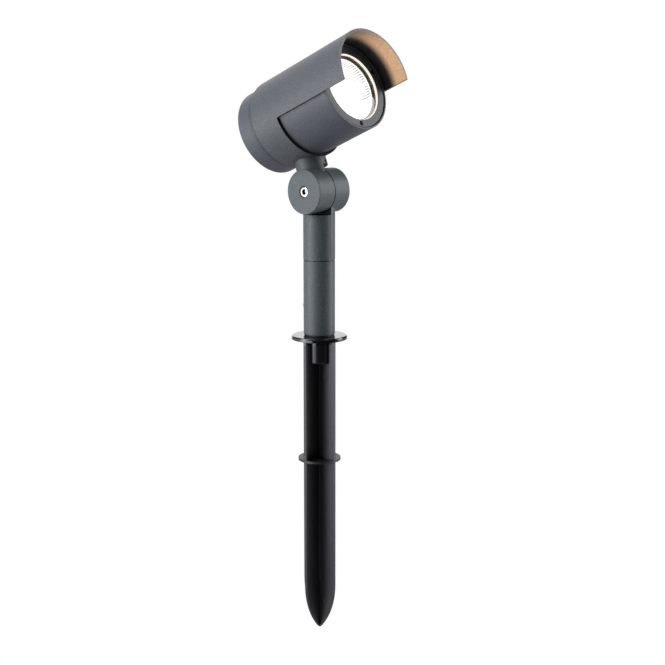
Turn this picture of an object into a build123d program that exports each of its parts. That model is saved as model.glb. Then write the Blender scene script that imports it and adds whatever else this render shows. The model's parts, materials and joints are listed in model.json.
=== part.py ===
from build123d import *
import os
from math import cos, radians, sin

# Garden spike spotlight, in millimetres.
# Origin: centre of the underside of the ground flange. +Z is up, +X is the way the lamp aims,
# and the socket screw of the tilting knuckle faces -Y.

# Overall layout
pivot_height = 126.0
aim_angle = 22.5
neck_length = 6.45
seam_height = 68.0
seat_gap = 0.05
running_gap = 0.05
loose_gap = 0.3
edge_ease = 0.5
screw_tip_gap = 0.6
position_tolerance = 0.01
overlap = 1.0

# Stem and knuckle
stem_radius = 13.5
lower_tube_radius = 13.4
lug_radius = 18.65
front_lug_width = 18.5
rear_lug_width = 17.8
lug_gap = 0.5
ledge_gap = 0.7
lug_chamfer = 0.6
chamber_radius = 11.2
chamber_depth = 7.5
post_radius = 5.6
channel_radius = 3.4
channel_shift = 4.6
stem_bore = 10.5
stem_bore_depth = 30.0

# Pivot screw, its washers and the insert it is driven into
bolt_radius = 2.5
bolt_length = 22.0
bolt_head_radius = 4.25
bolt_head_height = 5.0
bolt_head_inset = 0.5
bolt_hex = 4.0
bolt_hex_depth = 2.6
counterbore_radius = 4.9
spring_washer_radius = 4.2
spring_washer_thickness = 1.1
insert_radius = 4.0
insert_length = 10.0
friction_inner = 12.6
friction_outer = 17.2
friction_recess = 0.6

# Swivel between the two tubes
thrust_thickness = 0.8
thrust_step = 0.5
spigot_above = 17.0
spigot_below = 16.0
spigot_bore = 7.0
running_length = 12.0
lower_bore = 11.0
clip_thickness = 1.1
clip_depth = 1.2
clip_mouth = 70.0
o_ring_thickness = 1.24
o_ring_drop = 5.0

# Foot of the stem
base_washer_thickness = 1.2
base_washer_step = 0.6
plug_length = 12.0
stud_radius = 5.0
stud_above = 10.0
stud_below = 16.0
grommet_height = 28.0
grommet_radius = 5.4
grommet_neck = 4.0
grommet_bore = 2.6
grommet_face = 1.6
grommet_flat = 1.0

# Ground spike
flange_radius = 23.7
flange_thickness = 3.2
flange_round = 1.2
fin_reach = 17.8
fin_thickness = 2.3
fin_shoulder = 218.0
spike_length = 261.0
tip_radius = 1.2
core_radius = 1.9
ring_radius = 18.3
ring_depth = 104.8
ring_thickness = 2.0
boss_radius = 11.8
boss_length = 20.5
boss_chamfer = 1.2

# Lamp barrel, measured along the head's axis from the neck
barrel_radius = 36.8
barrel_front = 69.0
barrel_back = 34.7
barrel_wall = 2.8
front_wall = 4.2
barrel_round = 1.2
rim_chamfer = 0.4
pocket_wall = 7.2
ledge_width = 2.4
ledge_land = 3.0
boss_inset = 3.6
screw_boss_radius = 3.4
screw_boss_length = 10.0
pad_width = 12.0
pad_length = 21.0
pad_rise = 3.2

# Outer sleeve with its hood
sleeve_wall = 2.1
sleeve_front = 93.3
sleeve_back = 14.8
cutout_start = 13.6
cutout_angle = 96.3
sleeve_edge = 0.35

# Front stack: bezel, glass, gasket, collar and reflector
bezel_recess = 0.7
bezel_depth = 4.3
bezel_lip = 0.9
bezel_cover = 1.25
bezel_screw_margin = 3.3
glass_thickness = 3.0
glass_setback = 1.85
gasket_wall = 1.1
gasket_lip_slope = 0.75
gasket_lip_drop = 0.45
collar_depth = 3.0
collar_seat_width = 1.9
collar_shelf_drop = 1.45
collar_lip = 0.8
reflector_inset = 3.8
reflector_wall = 0.7
reflector_foot = 1.1
reflector_flange = 0.8
reflector_throat = 8.6
reflector_belly_inset = 6.2
reflector_belly_share = 0.35

# Light source, heat sink and electronics
sink_face = 28.0
sink_plate = 6.0
sink_fin_length = 15.0
sink_fin_count = 8
sink_fin_pitch = 6.4
sink_fin_thickness = 1.8
sink_fin_inset = 8.0
pad_thickness = 0.5
board_size = 19.0
board_thickness = 1.2
emitter_radius = 7.2
emitter_thickness = 0.8
holder_radius = 16.8
holder_height = 4.0
holder_screw_pitch = 13.0
holder_margin = 0.8
cap_recess = 0.6
cap_thickness = 3.2
cap_rim = 1.6
cap_gasket_thickness = 0.9
standoff_height = 4.0
standoff_margin = 4.5
standoff_radius = 3.4
driver_clearance = 2.0
driver_plate_thickness = 2.0
driver_height = 26.0
driver_length = 24.0
driver_shift = 6.0
terminal_width = 20.0
terminal_height = 9.0
terminal_length = 10.0
terminal_drop = -14.5
terminal_hole = 2.0
terminal_ways = 3
driver_corner = 3.0
lead_hole_radius = 2.2
lead_hole_pitch = 19.0

# Small screws
small_screw_radius = 1.5
small_head_radius = 2.75
small_head_height = 2.0
small_hex = 2.0
small_hex_depth = 1.1
bezel_screw_radius = 1.25
bezel_screw_head = 2.0
bezel_screw_head_height = 2.0
bezel_screw_inset = 1.0
bezel_screw_reach = 5.0
bezel_hex = 1.5
neck_screw_radius = 2.0
neck_screw_pitch = 6.6
neck_screw_reach = 5.5
neck_screw_head = 3.4
neck_screw_head_height = 3.0
neck_boss_radius = 10.2
neck_gasket_thickness = 0.8
neck_flat_depth = 1.4
neck_hex = 2.5
neck_hex_depth = 1.6
set_screw_radius = 1.5
set_screw_length = 4.0
set_screw_inset = 0.8
set_screw_rise = 2.15
set_screw_turn = 18.0

# Where the head sits above the pivot
ledge_distance = lug_radius + ledge_gap
sleeve_bore = barrel_radius + loose_gap
sleeve_radius = sleeve_bore + sleeve_wall
head_offset = ledge_distance + neck_length + sleeve_radius

# Frames that the pieces are drawn in
pivot = Vector(0, 0, pivot_height)
aim = Vector(cos(radians(aim_angle)), 0, sin(radians(aim_angle)))
upright = Vector(-sin(radians(aim_angle)), 0, cos(radians(aim_angle)))
head_centre = pivot + upright * head_offset
head_axis = Axis(head_centre, aim)
head_plane = Plane(origin=head_centre, x_dir=(0, 1, 0), z_dir=aim)
head_section = Plane(origin=head_centre, x_dir=upright, z_dir=(0, 1, 0))
neck_plane = Plane(origin=pivot, x_dir=(0, 1, 0), z_dir=upright)
front_lug_plane = Plane(origin=pivot, x_dir=(1, 0, 0), z_dir=(0, -1, 0))
rear_lug_plane = Plane(origin=pivot, x_dir=(-1, 0, 0), z_dir=(0, 1, 0))

# Sizes that follow from the ones above
rear_bore = barrel_radius - barrel_wall
front_bore = barrel_radius - front_wall
pocket_radius = barrel_radius - pocket_wall
ledge_radius = pocket_radius - ledge_width
boss_pitch = rear_bore - boss_inset
washer_face = lug_gap / 2 + friction_recess
head_floor = front_lug_width + lug_gap / 2 - bolt_head_inset - bolt_head_height
counterbore_floor = head_floor - spring_washer_thickness
upper_tube_foot = seam_height + thrust_thickness / 2
lower_tube_head = seam_height - thrust_thickness / 2
spigot_radius = stem_bore - running_gap
clip_radius = lower_bore - running_gap
clip_top = lower_tube_head - running_length - seat_gap
tube_foot = flange_thickness + base_washer_thickness
bezel_face = barrel_front - bezel_recess
bezel_seat = bezel_face - bezel_depth
bezel_radius = barrel_radius - barrel_round - 2 * loose_gap
bezel_pocket = bezel_radius + loose_gap
bezel_screw_pitch = bezel_radius - bezel_screw_margin
bezel_opening = pocket_radius - bezel_cover
gasket_lip_radius = bezel_opening - gasket_lip_slope
glass_face = bezel_face - glass_setback
glass_back = glass_face - glass_thickness
gasket_radius = pocket_radius - 2 * seat_gap
glass_radius = gasket_radius - gasket_wall - seat_gap
collar_back = glass_back - collar_depth
collar_shelf = glass_back - collar_shelf_drop
collar_lip_back = collar_shelf - collar_lip
ledge_face = collar_back - reflector_flange
mouth_level = collar_lip_back - seat_gap
reflector_mouth = pocket_radius - reflector_inset
reflector_belly = reflector_mouth - reflector_belly_inset
sink_back = sink_face - sink_plate
sink_fin_reach = rear_bore - sink_fin_inset
holder_front = sink_face + holder_height
board_back = sink_face + pad_thickness
board_front = board_back + board_thickness
cap_ledge = cap_recess + cap_thickness + cap_gasket_thickness - barrel_back
cap_front = cap_ledge - cap_gasket_thickness
cap_pocket = barrel_radius - cap_rim
cap_radius = cap_pocket - loose_gap
driver_back = cap_front + standoff_height
driver_front = driver_back + driver_plate_thickness
driver_plate_radius = boss_pitch - screw_boss_radius - driver_clearance
standoff_pitch = driver_plate_radius - standoff_margin
driver_width = 2 * (standoff_pitch - standoff_margin)
flat_distance = barrel_radius - neck_flat_depth
pad_face = rear_bore - pad_rise
neck_top = head_offset - flat_distance - neck_gasket_thickness
boss_angles = (30, 150, 270)
bezel_screw_angles = (37, 157, 277)
sink_screw_angles = (90, 210, 330)
set_screw_height = ledge_distance + set_screw_rise
set_screw_facing = Vector(0, 1, 0) * sin(radians(set_screw_turn)) + aim * cos(radians(set_screw_turn))
set_screw_plane = Plane(origin=pivot + upright * set_screw_height, x_dir=upright, z_dir=set_screw_facing)
neck_screw_places = [(0, neck_screw_pitch), (0, -neck_screw_pitch)]


def finish(piece, label):
    """Name a finished piece and write it as its own file."""
    piece.part.label = label
    export_step(piece.part, f"parts/{label}.step")


def spots(pitch, angles):
    """Places on a circle, one for each angle."""
    return [(pitch * cos(radians(angle)), pitch * sin(radians(angle))) for angle in angles]


def pillar(plane, radius, start, end, places=((0, 0),), mode=Mode.ADD):
    """Round bars along a plane's normal, from start to end, added to the part being built."""
    with BuildSketch(plane.offset(start)) as outline:
        with Locations(*places):
            Circle(radius)
    extrude(outline.sketch, amount=end - start, mode=mode)


def ring(plane, outer, inner, start, end, mode=Mode.ADD):
    """A flat ring along a plane's normal, added to the part being built."""
    with BuildSketch(plane.offset(start)) as outline:
        Circle(outer)
        Circle(inner, mode=Mode.SUBTRACT)
    extrude(outline.sketch, amount=end - start, mode=mode)


def hex_sockets(plane, width, start, end, places=((0, 0),)):
    """Hexagonal drive sockets, cut from the part being built."""
    with BuildSketch(plane.offset(start)) as outline:
        with Locations(*places):
            RegularPolygon(width / 2, 6, major_radius=False)
    extrude(outline.sketch, amount=end - start, mode=Mode.SUBTRACT)


def small_screws(plane, places, head_start, shank_end, facing=1):
    """Small socket screws whose heads start at head_start and face along or against the plane."""
    head_end = head_start + facing * small_head_height
    pillar(plane, small_head_radius, head_start, head_end, places)
    pillar(plane, small_screw_radius, head_start, shank_end, places)
    hex_sockets(plane, small_hex, head_end - facing * small_hex_depth, head_end, places)


os.makedirs("parts", exist_ok=True)
bezel_screw_places = spots(bezel_screw_pitch, bezel_screw_angles)
holder_screw_places = [(holder_screw_pitch, 0), (-holder_screw_pitch, 0)]

# Ground spike: flange, four fins with a pointed end, a stabilising ring and the stud boss
with BuildPart() as spike:
    pillar(Plane.XY, flange_radius, 0, flange_thickness)
    fillet(spike.edges().filter_by(GeomType.CIRCLE).sort_by(Axis.Z)[-1], radius=flange_round)
    for fin_plane in (Plane.XZ, Plane.YZ):
        with BuildSketch(fin_plane) as fin_outline:
            with BuildLine():
                Line((0, 0), (fin_reach, 0))
                Line((fin_reach, 0), (fin_reach, -fin_shoulder))
                TangentArc((fin_reach, -fin_shoulder), (tip_radius, -spike_length), tangent=(0, -1))
                Line((tip_radius, -spike_length), (0, -spike_length))
                Line((0, -spike_length), (0, 0))
            make_face()
            mirror(about=Plane.YZ)
        extrude(fin_outline.sketch, amount=fin_thickness / 2, both=True)
    pillar(Plane.XY, core_radius, 0, -fin_shoulder)
    pillar(Plane.XY, boss_radius, 0, -boss_length)
    boss_rim = spike.edges().filter_by(GeomType.CIRCLE).filter_by_position(
        Axis.Z, -boss_length - position_tolerance, -boss_length + position_tolerance
    )
    chamfer(boss_rim.group_by(SortBy.RADIUS)[-1], length=boss_chamfer)
    pillar(Plane.XY, ring_radius, -ring_depth, -ring_depth - ring_thickness)
    stud_hole_end = -stud_below - screw_tip_gap
    pillar(Plane.XY, stud_radius + seat_gap, flange_thickness, stud_hole_end, mode=Mode.SUBTRACT)
finish(spike, "spike")

# Threaded stud that joins spike and stem
with BuildPart() as spike_stud:
    pillar(Plane.XY, stud_radius, -stud_below, tube_foot + stud_above)
    chamfer(spike_stud.edges().filter_by(GeomType.CIRCLE), length=edge_ease)
finish(spike_stud, "spike_stud")

# Rubber washer under the stem
base_washer_radius = lower_tube_radius - base_washer_step
with BuildPart() as base_washer:
    ring(Plane.XY, base_washer_radius, stud_radius + seat_gap, flange_thickness, tube_foot)
finish(base_washer, "base_washer")

# Plug in the foot of the lower tube, threaded for the stud
with BuildPart() as stem_plug:
    ring(Plane.XY, lower_bore - seat_gap, stud_radius + seat_gap, tube_foot, tube_foot + plug_length)
finish(stem_plug, "stem_plug")

# Lower tube of the stem, with the cable opening low on its back
grommet_plane = Plane(origin=(0, 0, grommet_height), x_dir=(0, 1, 0), z_dir=(-1, 0, 0))
grommet_seat = lower_tube_radius - grommet_flat
with BuildPart() as lower_tube:
    ring(Plane.XY, lower_tube_radius, lower_bore, tube_foot, clip_top + seat_gap)
    ring(Plane.XY, lower_tube_radius, stem_bore, clip_top + seat_gap, lower_tube_head)
    pillar(grommet_plane, grommet_neck + seat_gap, 0, lower_tube_radius, mode=Mode.SUBTRACT)
    pillar(
        grommet_plane,
        grommet_radius + loose_gap,
        grommet_seat,
        lower_tube_radius + overlap,
        mode=Mode.SUBTRACT,
    )
finish(lower_tube, "lower_tube")

# Rubber grommet of the cable opening
with BuildPart() as cable_grommet:
    ring(grommet_plane, grommet_radius, grommet_bore, grommet_seat, grommet_seat + grommet_face)
    ring(grommet_plane, grommet_neck, grommet_bore, lower_bore - overlap, grommet_seat)
    fillet(cable_grommet.edges().filter_by(GeomType.CIRCLE).sort_by(Axis.X)[:2], radius=edge_ease)
finish(cable_grommet, "cable_grommet")

# Spigot that the upper tube turns on, with grooves for its clip and seal
groove_floor = spigot_radius - clip_depth
seal_height = lower_tube_head - o_ring_drop
with BuildPart() as swivel_spigot:
    ring(Plane.XY, spigot_radius, spigot_bore, seam_height - spigot_below, seam_height + spigot_above)
    ring(
        Plane.XY,
        spigot_radius + overlap,
        groove_floor,
        clip_top - clip_thickness - seat_gap,
        clip_top + seat_gap,
        mode=Mode.SUBTRACT,
    )
    ring(
        Plane.XY,
        spigot_radius + overlap,
        groove_floor,
        seal_height - o_ring_thickness / 2 - seat_gap,
        seal_height + o_ring_thickness / 2 + seat_gap,
        mode=Mode.SUBTRACT,
    )
finish(swivel_spigot, "swivel_spigot")

# Spring clip that holds the spigot in the lower tube
mouth_reach = 2 * clip_radius
mouth_half_width = mouth_reach * sin(radians(clip_mouth / 2))
with BuildPart() as swivel_clip:
    ring(Plane.XY, clip_radius, groove_floor + seat_gap, clip_top - clip_thickness, clip_top)
    with BuildSketch(Plane.XY.offset(clip_top)) as clip_gap:
        with BuildLine():
            Polyline((0, 0), (mouth_reach, -mouth_half_width), (mouth_reach, mouth_half_width), close=True)
        make_face()
    extrude(clip_gap.sketch, amount=-clip_thickness, mode=Mode.SUBTRACT)
finish(swivel_clip, "swivel_clip")

# Seal between spigot and lower tube
with BuildPart() as swivel_seal:
    with BuildSketch(Plane.XZ):
        with Locations((groove_floor + (o_ring_thickness + seat_gap) / 2, seal_height)):
            Circle((o_ring_thickness - seat_gap) / 2)
    revolve(axis=Axis.Z)
finish(swivel_seal, "swivel_seal")

# Thrust washer seen as the fine dark line between the two tubes
with BuildPart() as thrust_washer:
    ring(Plane.XY, stem_radius - thrust_step, stem_bore + seat_gap, lower_tube_head, upper_tube_foot)
finish(thrust_washer, "thrust_washer")

# Upper tube with the rear half of the knuckle
with BuildPart() as stem_knuckle:
    pillar(rear_lug_plane, lug_radius, lug_gap / 2, lug_gap / 2 + rear_lug_width)
    chamfer(stem_knuckle.edges().filter_by(GeomType.CIRCLE).sort_by(Axis.Y)[-1], length=lug_chamfer)
    with BuildSketch(Plane.XY.offset(pivot_height)) as half_stem:
        Circle(stem_radius)
        with Locations((0, lug_gap / 2 - stem_radius)):
            Rectangle(2 * stem_radius, 2 * stem_radius, mode=Mode.SUBTRACT)
    extrude(half_stem.sketch, amount=-ledge_distance)
    pillar(Plane.XY, stem_radius, upper_tube_foot, pivot_height - ledge_distance)
    pillar(Plane.XY, stem_bore, upper_tube_foot, upper_tube_foot + stem_bore_depth, mode=Mode.SUBTRACT)
    ring(
        rear_lug_plane,
        chamber_radius,
        post_radius,
        lug_gap / 2,
        lug_gap / 2 + chamber_depth,
        mode=Mode.SUBTRACT,
    )
    pillar(
        Plane.XY,
        channel_radius,
        upper_tube_foot + stem_bore_depth,
        pivot_height - post_radius - channel_radius,
        [(0, channel_shift)],
        mode=Mode.SUBTRACT,
    )
    ring(rear_lug_plane, friction_outer + seat_gap, friction_inner - seat_gap, 0, washer_face,
         mode=Mode.SUBTRACT)
    pillar(rear_lug_plane, insert_radius + seat_gap, 0, lug_gap / 2 + insert_length, mode=Mode.SUBTRACT)
finish(stem_knuckle, "stem_knuckle")

# Threaded insert in the rear lug
with BuildPart() as pivot_insert:
    ring(rear_lug_plane, insert_radius, bolt_radius + seat_gap, lug_gap / 2, lug_gap / 2 + insert_length)
finish(pivot_insert, "pivot_insert")

# Friction washer between the lugs
with BuildPart() as friction_washer:
    ring(rear_lug_plane, friction_outer, friction_inner, -washer_face, washer_face)
finish(friction_washer, "friction_washer")

# Socket-head pivot screw
with BuildPart() as pivot_screw:
    pillar(front_lug_plane, bolt_head_radius, head_floor, head_floor + bolt_head_height)
    pillar(front_lug_plane, bolt_radius, head_floor, head_floor - bolt_length)
    chamfer(pivot_screw.edges().filter_by(GeomType.CIRCLE).sort_by(Axis.Y)[0], length=edge_ease)
    hex_sockets(
        front_lug_plane,
        bolt_hex,
        head_floor + bolt_head_height - bolt_hex_depth,
        head_floor + bolt_head_height,
    )
finish(pivot_screw, "pivot_screw")

# Spring washer under its head
with BuildPart() as spring_washer:
    ring(front_lug_plane, spring_washer_radius, bolt_radius + seat_gap, counterbore_floor, head_floor)
finish(spring_washer, "spring_washer")

# Neck of the head with the front half of the knuckle
with BuildPart() as neck_knuckle:
    pillar(front_lug_plane, lug_radius, lug_gap / 2, lug_gap / 2 + front_lug_width)
    chamfer(neck_knuckle.edges().filter_by(GeomType.CIRCLE).sort_by(Axis.Y)[0], length=lug_chamfer)
    with BuildSketch(neck_plane) as half_neck:
        Circle(stem_radius)
        with Locations((stem_radius - lug_gap / 2, 0)):
            Rectangle(2 * stem_radius, 2 * stem_radius, mode=Mode.SUBTRACT)
    extrude(half_neck.sketch, amount=ledge_distance)
    pillar(neck_plane, stem_radius, ledge_distance, head_offset - rear_bore)
    pillar(head_plane, sleeve_radius + seat_gap, -2 * stem_radius, 2 * stem_radius, mode=Mode.SUBTRACT)
    pillar(neck_plane, neck_boss_radius, ledge_distance, neck_top)
    ring(
        front_lug_plane,
        chamber_radius,
        post_radius,
        lug_gap / 2,
        lug_gap / 2 + chamber_depth,
        mode=Mode.SUBTRACT,
    )
    pillar(
        neck_plane,
        channel_radius,
        post_radius + channel_radius,
        neck_top,
        [(-channel_shift, 0)],
        mode=Mode.SUBTRACT,
    )
    ring(front_lug_plane, friction_outer + running_gap, friction_inner - running_gap, 0, washer_face,
         mode=Mode.SUBTRACT)
    pillar(front_lug_plane, bolt_radius + running_gap, 0, counterbore_floor, mode=Mode.SUBTRACT)
    pillar(
        front_lug_plane,
        counterbore_radius,
        counterbore_floor,
        front_lug_width + lug_gap,
        mode=Mode.SUBTRACT,
    )
    pillar(
        neck_plane,
        neck_screw_radius + seat_gap,
        neck_top - neck_screw_reach + seat_gap,
        neck_top,
        neck_screw_places,
        mode=Mode.SUBTRACT,
    )
    pillar(set_screw_plane, set_screw_radius + seat_gap, channel_radius, stem_radius + overlap,
           mode=Mode.SUBTRACT)
finish(neck_knuckle, "neck_knuckle")

# Set screw in the front of the neck
with BuildPart() as neck_set_screw:
    pillar(
        set_screw_plane,
        set_screw_radius,
        stem_radius - set_screw_inset - set_screw_length,
        stem_radius - set_screw_inset,
    )
    hex_sockets(
        set_screw_plane,
        small_hex,
        stem_radius - set_screw_inset - small_hex_depth,
        stem_radius - set_screw_inset,
    )
finish(neck_set_screw, "neck_set_screw")

# Flat seal between neck and barrel
with BuildPart() as neck_gasket:
    pillar(neck_plane, neck_boss_radius, neck_top, neck_top + neck_gasket_thickness)
    pillar(
        neck_plane,
        neck_screw_radius + seat_gap,
        neck_top,
        neck_top + neck_gasket_thickness,
        neck_screw_places,
        mode=Mode.SUBTRACT,
    )
    pillar(
        neck_plane,
        channel_radius,
        neck_top,
        neck_top + neck_gasket_thickness,
        [(-channel_shift, 0)],
        mode=Mode.SUBTRACT,
    )
finish(neck_gasket, "neck_gasket")

# Screws that hold the barrel on its neck, driven from inside the barrel
pad_level = head_offset - pad_face
with BuildPart() as neck_screws:
    pillar(neck_plane, neck_screw_head, pad_level, pad_level + neck_screw_head_height, neck_screw_places)
    pillar(neck_plane, neck_screw_radius, pad_level, neck_top - neck_screw_reach + screw_tip_gap,
           neck_screw_places)
    hex_sockets(
        neck_plane,
        neck_hex,
        pad_level + neck_screw_head_height - neck_hex_depth,
        pad_level + neck_screw_head_height,
        neck_screw_places,
    )
finish(neck_screws, "neck_screws")

# Barrel: the sealed body of the lamp, with its glass pocket, bosses and neck pad
with BuildPart() as barrel:
    pillar(head_plane, barrel_radius, -barrel_back, barrel_front)
    fillet(barrel.edges().filter_by(GeomType.CIRCLE).sort_by(head_axis)[0], radius=barrel_round)
    chamfer(barrel.edges().filter_by(GeomType.CIRCLE).sort_by(head_axis)[-1], length=rim_chamfer)
    pillar(head_plane, cap_pocket, -barrel_back, cap_ledge, mode=Mode.SUBTRACT)
    pillar(head_plane, rear_bore, cap_ledge, sink_face, mode=Mode.SUBTRACT)
    pillar(head_plane, front_bore, sink_face, ledge_face - ledge_land, mode=Mode.SUBTRACT)
    pillar(head_plane, ledge_radius, ledge_face - ledge_land, ledge_face, mode=Mode.SUBTRACT)
    pillar(head_plane, pocket_radius, ledge_face, bezel_seat, mode=Mode.SUBTRACT)
    pillar(head_plane, bezel_pocket, bezel_seat, barrel_front, mode=Mode.SUBTRACT)
    for start, end, angles in (
        (cap_ledge, cap_ledge + screw_boss_length, boss_angles),
        (sink_face, sink_face + screw_boss_length, sink_screw_angles),
    ):
        pillar(head_plane, screw_boss_radius, start, end, spots(boss_pitch, angles))
        for angle in angles:
            with BuildSketch(head_plane.offset(start)) as boss_web:
                with Locations(Location((0, 0, 0), (0, 0, angle))):
                    with Locations((boss_pitch + screw_boss_radius / 2, 0)):
                        Rectangle(screw_boss_radius + overlap, 2 * screw_boss_radius)
            extrude(boss_web.sketch, amount=end - start)
    with BuildSketch(neck_plane.offset(pad_level)) as neck_pad:
        Rectangle(pad_width, pad_length)
    extrude(neck_pad.sketch, amount=-pad_rise - overlap)
    boss_hole_depth = screw_boss_length - screw_tip_gap
    pillar(head_plane, small_screw_radius + seat_gap, cap_ledge, cap_ledge + boss_hole_depth,
           spots(boss_pitch, boss_angles), mode=Mode.SUBTRACT)
    pillar(head_plane, small_screw_radius + seat_gap, sink_face, sink_face + boss_hole_depth,
           spots(boss_pitch, sink_screw_angles), mode=Mode.SUBTRACT)
    bezel_hole_depth = bezel_screw_reach + screw_tip_gap
    pillar(head_plane, bezel_screw_radius + seat_gap, bezel_seat, bezel_seat - bezel_hole_depth,
           bezel_screw_places, mode=Mode.SUBTRACT)
    pillar(neck_plane, neck_boss_radius + loose_gap, head_offset - sleeve_radius,
           head_offset - flat_distance, mode=Mode.SUBTRACT)
    pillar(neck_plane, neck_screw_radius + seat_gap, neck_top, pad_level, neck_screw_places,
           mode=Mode.SUBTRACT)
    pillar(neck_plane, channel_radius, neck_top, pad_level, [(-channel_shift, 0)], mode=Mode.SUBTRACT)
finish(barrel, "barrel")

# Outer sleeve that runs forward over the top as a hood and is cut away below
sector_width = 2 * sleeve_radius * sin(radians(cutout_angle))
sector_edge = 2 * sleeve_radius * cos(radians(cutout_angle))
with BuildPart() as hood_sleeve:
    ring(head_plane, sleeve_radius, sleeve_bore, -sleeve_back, sleeve_front)
    chamfer(hood_sleeve.edges().filter_by(GeomType.CIRCLE).group_by(SortBy.RADIUS)[-1], length=sleeve_edge)
    with BuildSketch(head_plane.offset(cutout_start)) as cutout:
        with BuildLine():
            Polyline(
                (0, 0),
                (sector_width, sector_edge),
                (sector_width, -2 * sleeve_radius),
                (-sector_width, -2 * sleeve_radius),
                (-sector_width, sector_edge),
                close=True,
            )
        make_face()
    extrude(cutout.sketch, amount=sleeve_front, mode=Mode.SUBTRACT)
    pillar(neck_plane, neck_boss_radius + loose_gap, ledge_distance, head_offset, mode=Mode.SUBTRACT)
finish(hood_sleeve, "hood_sleeve")

# Bezel that clamps the glass
bezel_head_top = bezel_face - bezel_screw_inset
bezel_head_floor = bezel_head_top - bezel_screw_head_height
with BuildPart() as bezel_ring:
    pillar(head_plane, bezel_radius, bezel_seat, bezel_face)
    pillar(head_plane, pocket_radius, bezel_seat, bezel_face - bezel_lip, mode=Mode.SUBTRACT)
    pillar(head_plane, bezel_opening, bezel_seat, bezel_face, mode=Mode.SUBTRACT)
    chamfer(bezel_ring.edges().filter_by(GeomType.CIRCLE).group_by(SortBy.RADIUS)[-1].sort_by(head_axis)[-1],
            length=rim_chamfer)
    pillar(head_plane, bezel_screw_head + seat_gap, bezel_head_floor, bezel_face, bezel_screw_places,
           mode=Mode.SUBTRACT)
    pillar(head_plane, bezel_screw_radius + seat_gap, bezel_seat, bezel_face, bezel_screw_places,
           mode=Mode.SUBTRACT)
finish(bezel_ring, "bezel_ring")

# Small socket screws of the bezel
with BuildPart() as bezel_screws:
    pillar(head_plane, bezel_screw_head, bezel_head_floor, bezel_head_top, bezel_screw_places)
    pillar(head_plane, bezel_screw_radius, bezel_head_floor, bezel_seat - bezel_screw_reach,
           bezel_screw_places)
    hex_sockets(head_plane, bezel_hex, bezel_head_top - small_hex_depth, bezel_head_top, bezel_screw_places)
finish(bezel_screws, "bezel_screws")

# Front glass
with BuildPart() as front_glass:
    pillar(head_plane, glass_radius, glass_back, glass_face)
finish(front_glass, "front_glass")

# Clear silicone gasket round the glass, whose lip shows as a bright ring
gasket_bore = gasket_radius - gasket_wall
with BuildPart() as glass_gasket:
    with BuildSketch(head_section):
        with BuildLine():
            Polyline(
                (gasket_bore, glass_back),
                (gasket_radius, glass_back),
                (gasket_radius, bezel_face - bezel_lip - seat_gap),
                (bezel_opening - seat_gap, bezel_face - bezel_lip - seat_gap),
                (bezel_opening - seat_gap, bezel_face - gasket_lip_drop),
                (gasket_lip_radius, glass_face),
                (gasket_bore, glass_face),
                close=True,
            )
        make_face()
    revolve(axis=head_axis)
finish(glass_gasket, "glass_gasket")

# Dark collar that carries the glass on its seat, with a lip that covers the reflector's rim
collar_bore = reflector_mouth + reflector_wall + 2 * seat_gap
with BuildPart() as reflector_collar:
    ring(head_plane, gasket_radius, collar_bore, collar_back, collar_lip_back)
    ring(head_plane, gasket_radius, reflector_mouth, collar_lip_back, collar_shelf)
    ring(head_plane, gasket_radius, gasket_radius - collar_seat_width, collar_shelf, glass_back)
finish(reflector_collar, "reflector_collar")

# Reflector: a thin bowl with a flange under the collar
throat_level = holder_front
belly_level = throat_level + reflector_belly_share * (mouth_level - throat_level)
with BuildPart() as reflector:
    with BuildSketch(head_section):
        with BuildLine():
            ThreePointArc(
                (reflector_throat, throat_level),
                (reflector_belly, belly_level),
                (reflector_mouth, mouth_level),
            )
            Line(
                (reflector_mouth, mouth_level),
                (reflector_mouth + reflector_wall, mouth_level),
            )
            ThreePointArc(
                (reflector_mouth + reflector_wall, mouth_level),
                (reflector_belly + reflector_wall, belly_level - reflector_wall / 2),
                (reflector_throat + reflector_foot, throat_level),
            )
            Line(
                (reflector_throat + reflector_foot, throat_level),
                (reflector_throat, throat_level),
            )
        make_face()
    revolve(axis=head_axis)
    ring(head_plane, gasket_radius - seat_gap, reflector_mouth, ledge_face, collar_back)
finish(reflector, "reflector")

# Heat sink: a plate against the barrel's shoulder with straight fins behind it
sink_radius = rear_bore - loose_gap
notch_floor = sink_fin_reach + loose_gap
with BuildPart() as heat_sink:
    pillar(head_plane, sink_radius, sink_back, sink_face)
    for angle in boss_angles:
        with BuildSketch(head_plane.offset(sink_back)) as notch:
            with Locations(Location((0, 0, 0), (0, 0, angle))):
                with Locations(((notch_floor + 2 * sink_radius) / 2, 0)):
                    Rectangle(2 * sink_radius - notch_floor, pad_width + overlap)
        extrude(notch.sketch, amount=sink_plate, mode=Mode.SUBTRACT)
    with BuildSketch(head_plane.offset(sink_back - sink_fin_length)) as fins:
        Circle(sink_fin_reach)
        with GridLocations(0, sink_fin_pitch, 1, sink_fin_count + 1):
            Rectangle(2 * sink_fin_reach, sink_fin_pitch - sink_fin_thickness, mode=Mode.SUBTRACT)
    extrude(fins.sketch, amount=sink_fin_length)
    pillar(head_plane, small_screw_radius + seat_gap, sink_back, sink_face,
           spots(boss_pitch, sink_screw_angles), mode=Mode.SUBTRACT)
    pillar(head_plane, small_screw_radius + seat_gap, sink_back + screw_tip_gap, sink_face,
           holder_screw_places, mode=Mode.SUBTRACT)
    pillar(head_plane, lead_hole_radius, sink_back - sink_fin_length, sink_face,
           [(0, lead_hole_pitch)], mode=Mode.SUBTRACT)
finish(heat_sink, "heat_sink")

# Heat sink screws, driven from behind
with BuildPart() as heat_sink_screws:
    small_screws(head_plane, spots(boss_pitch, sink_screw_angles), sink_back,
                 sink_face + screw_boss_length - 2 * screw_tip_gap, facing=-1)
finish(heat_sink_screws, "heat_sink_screws")

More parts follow.
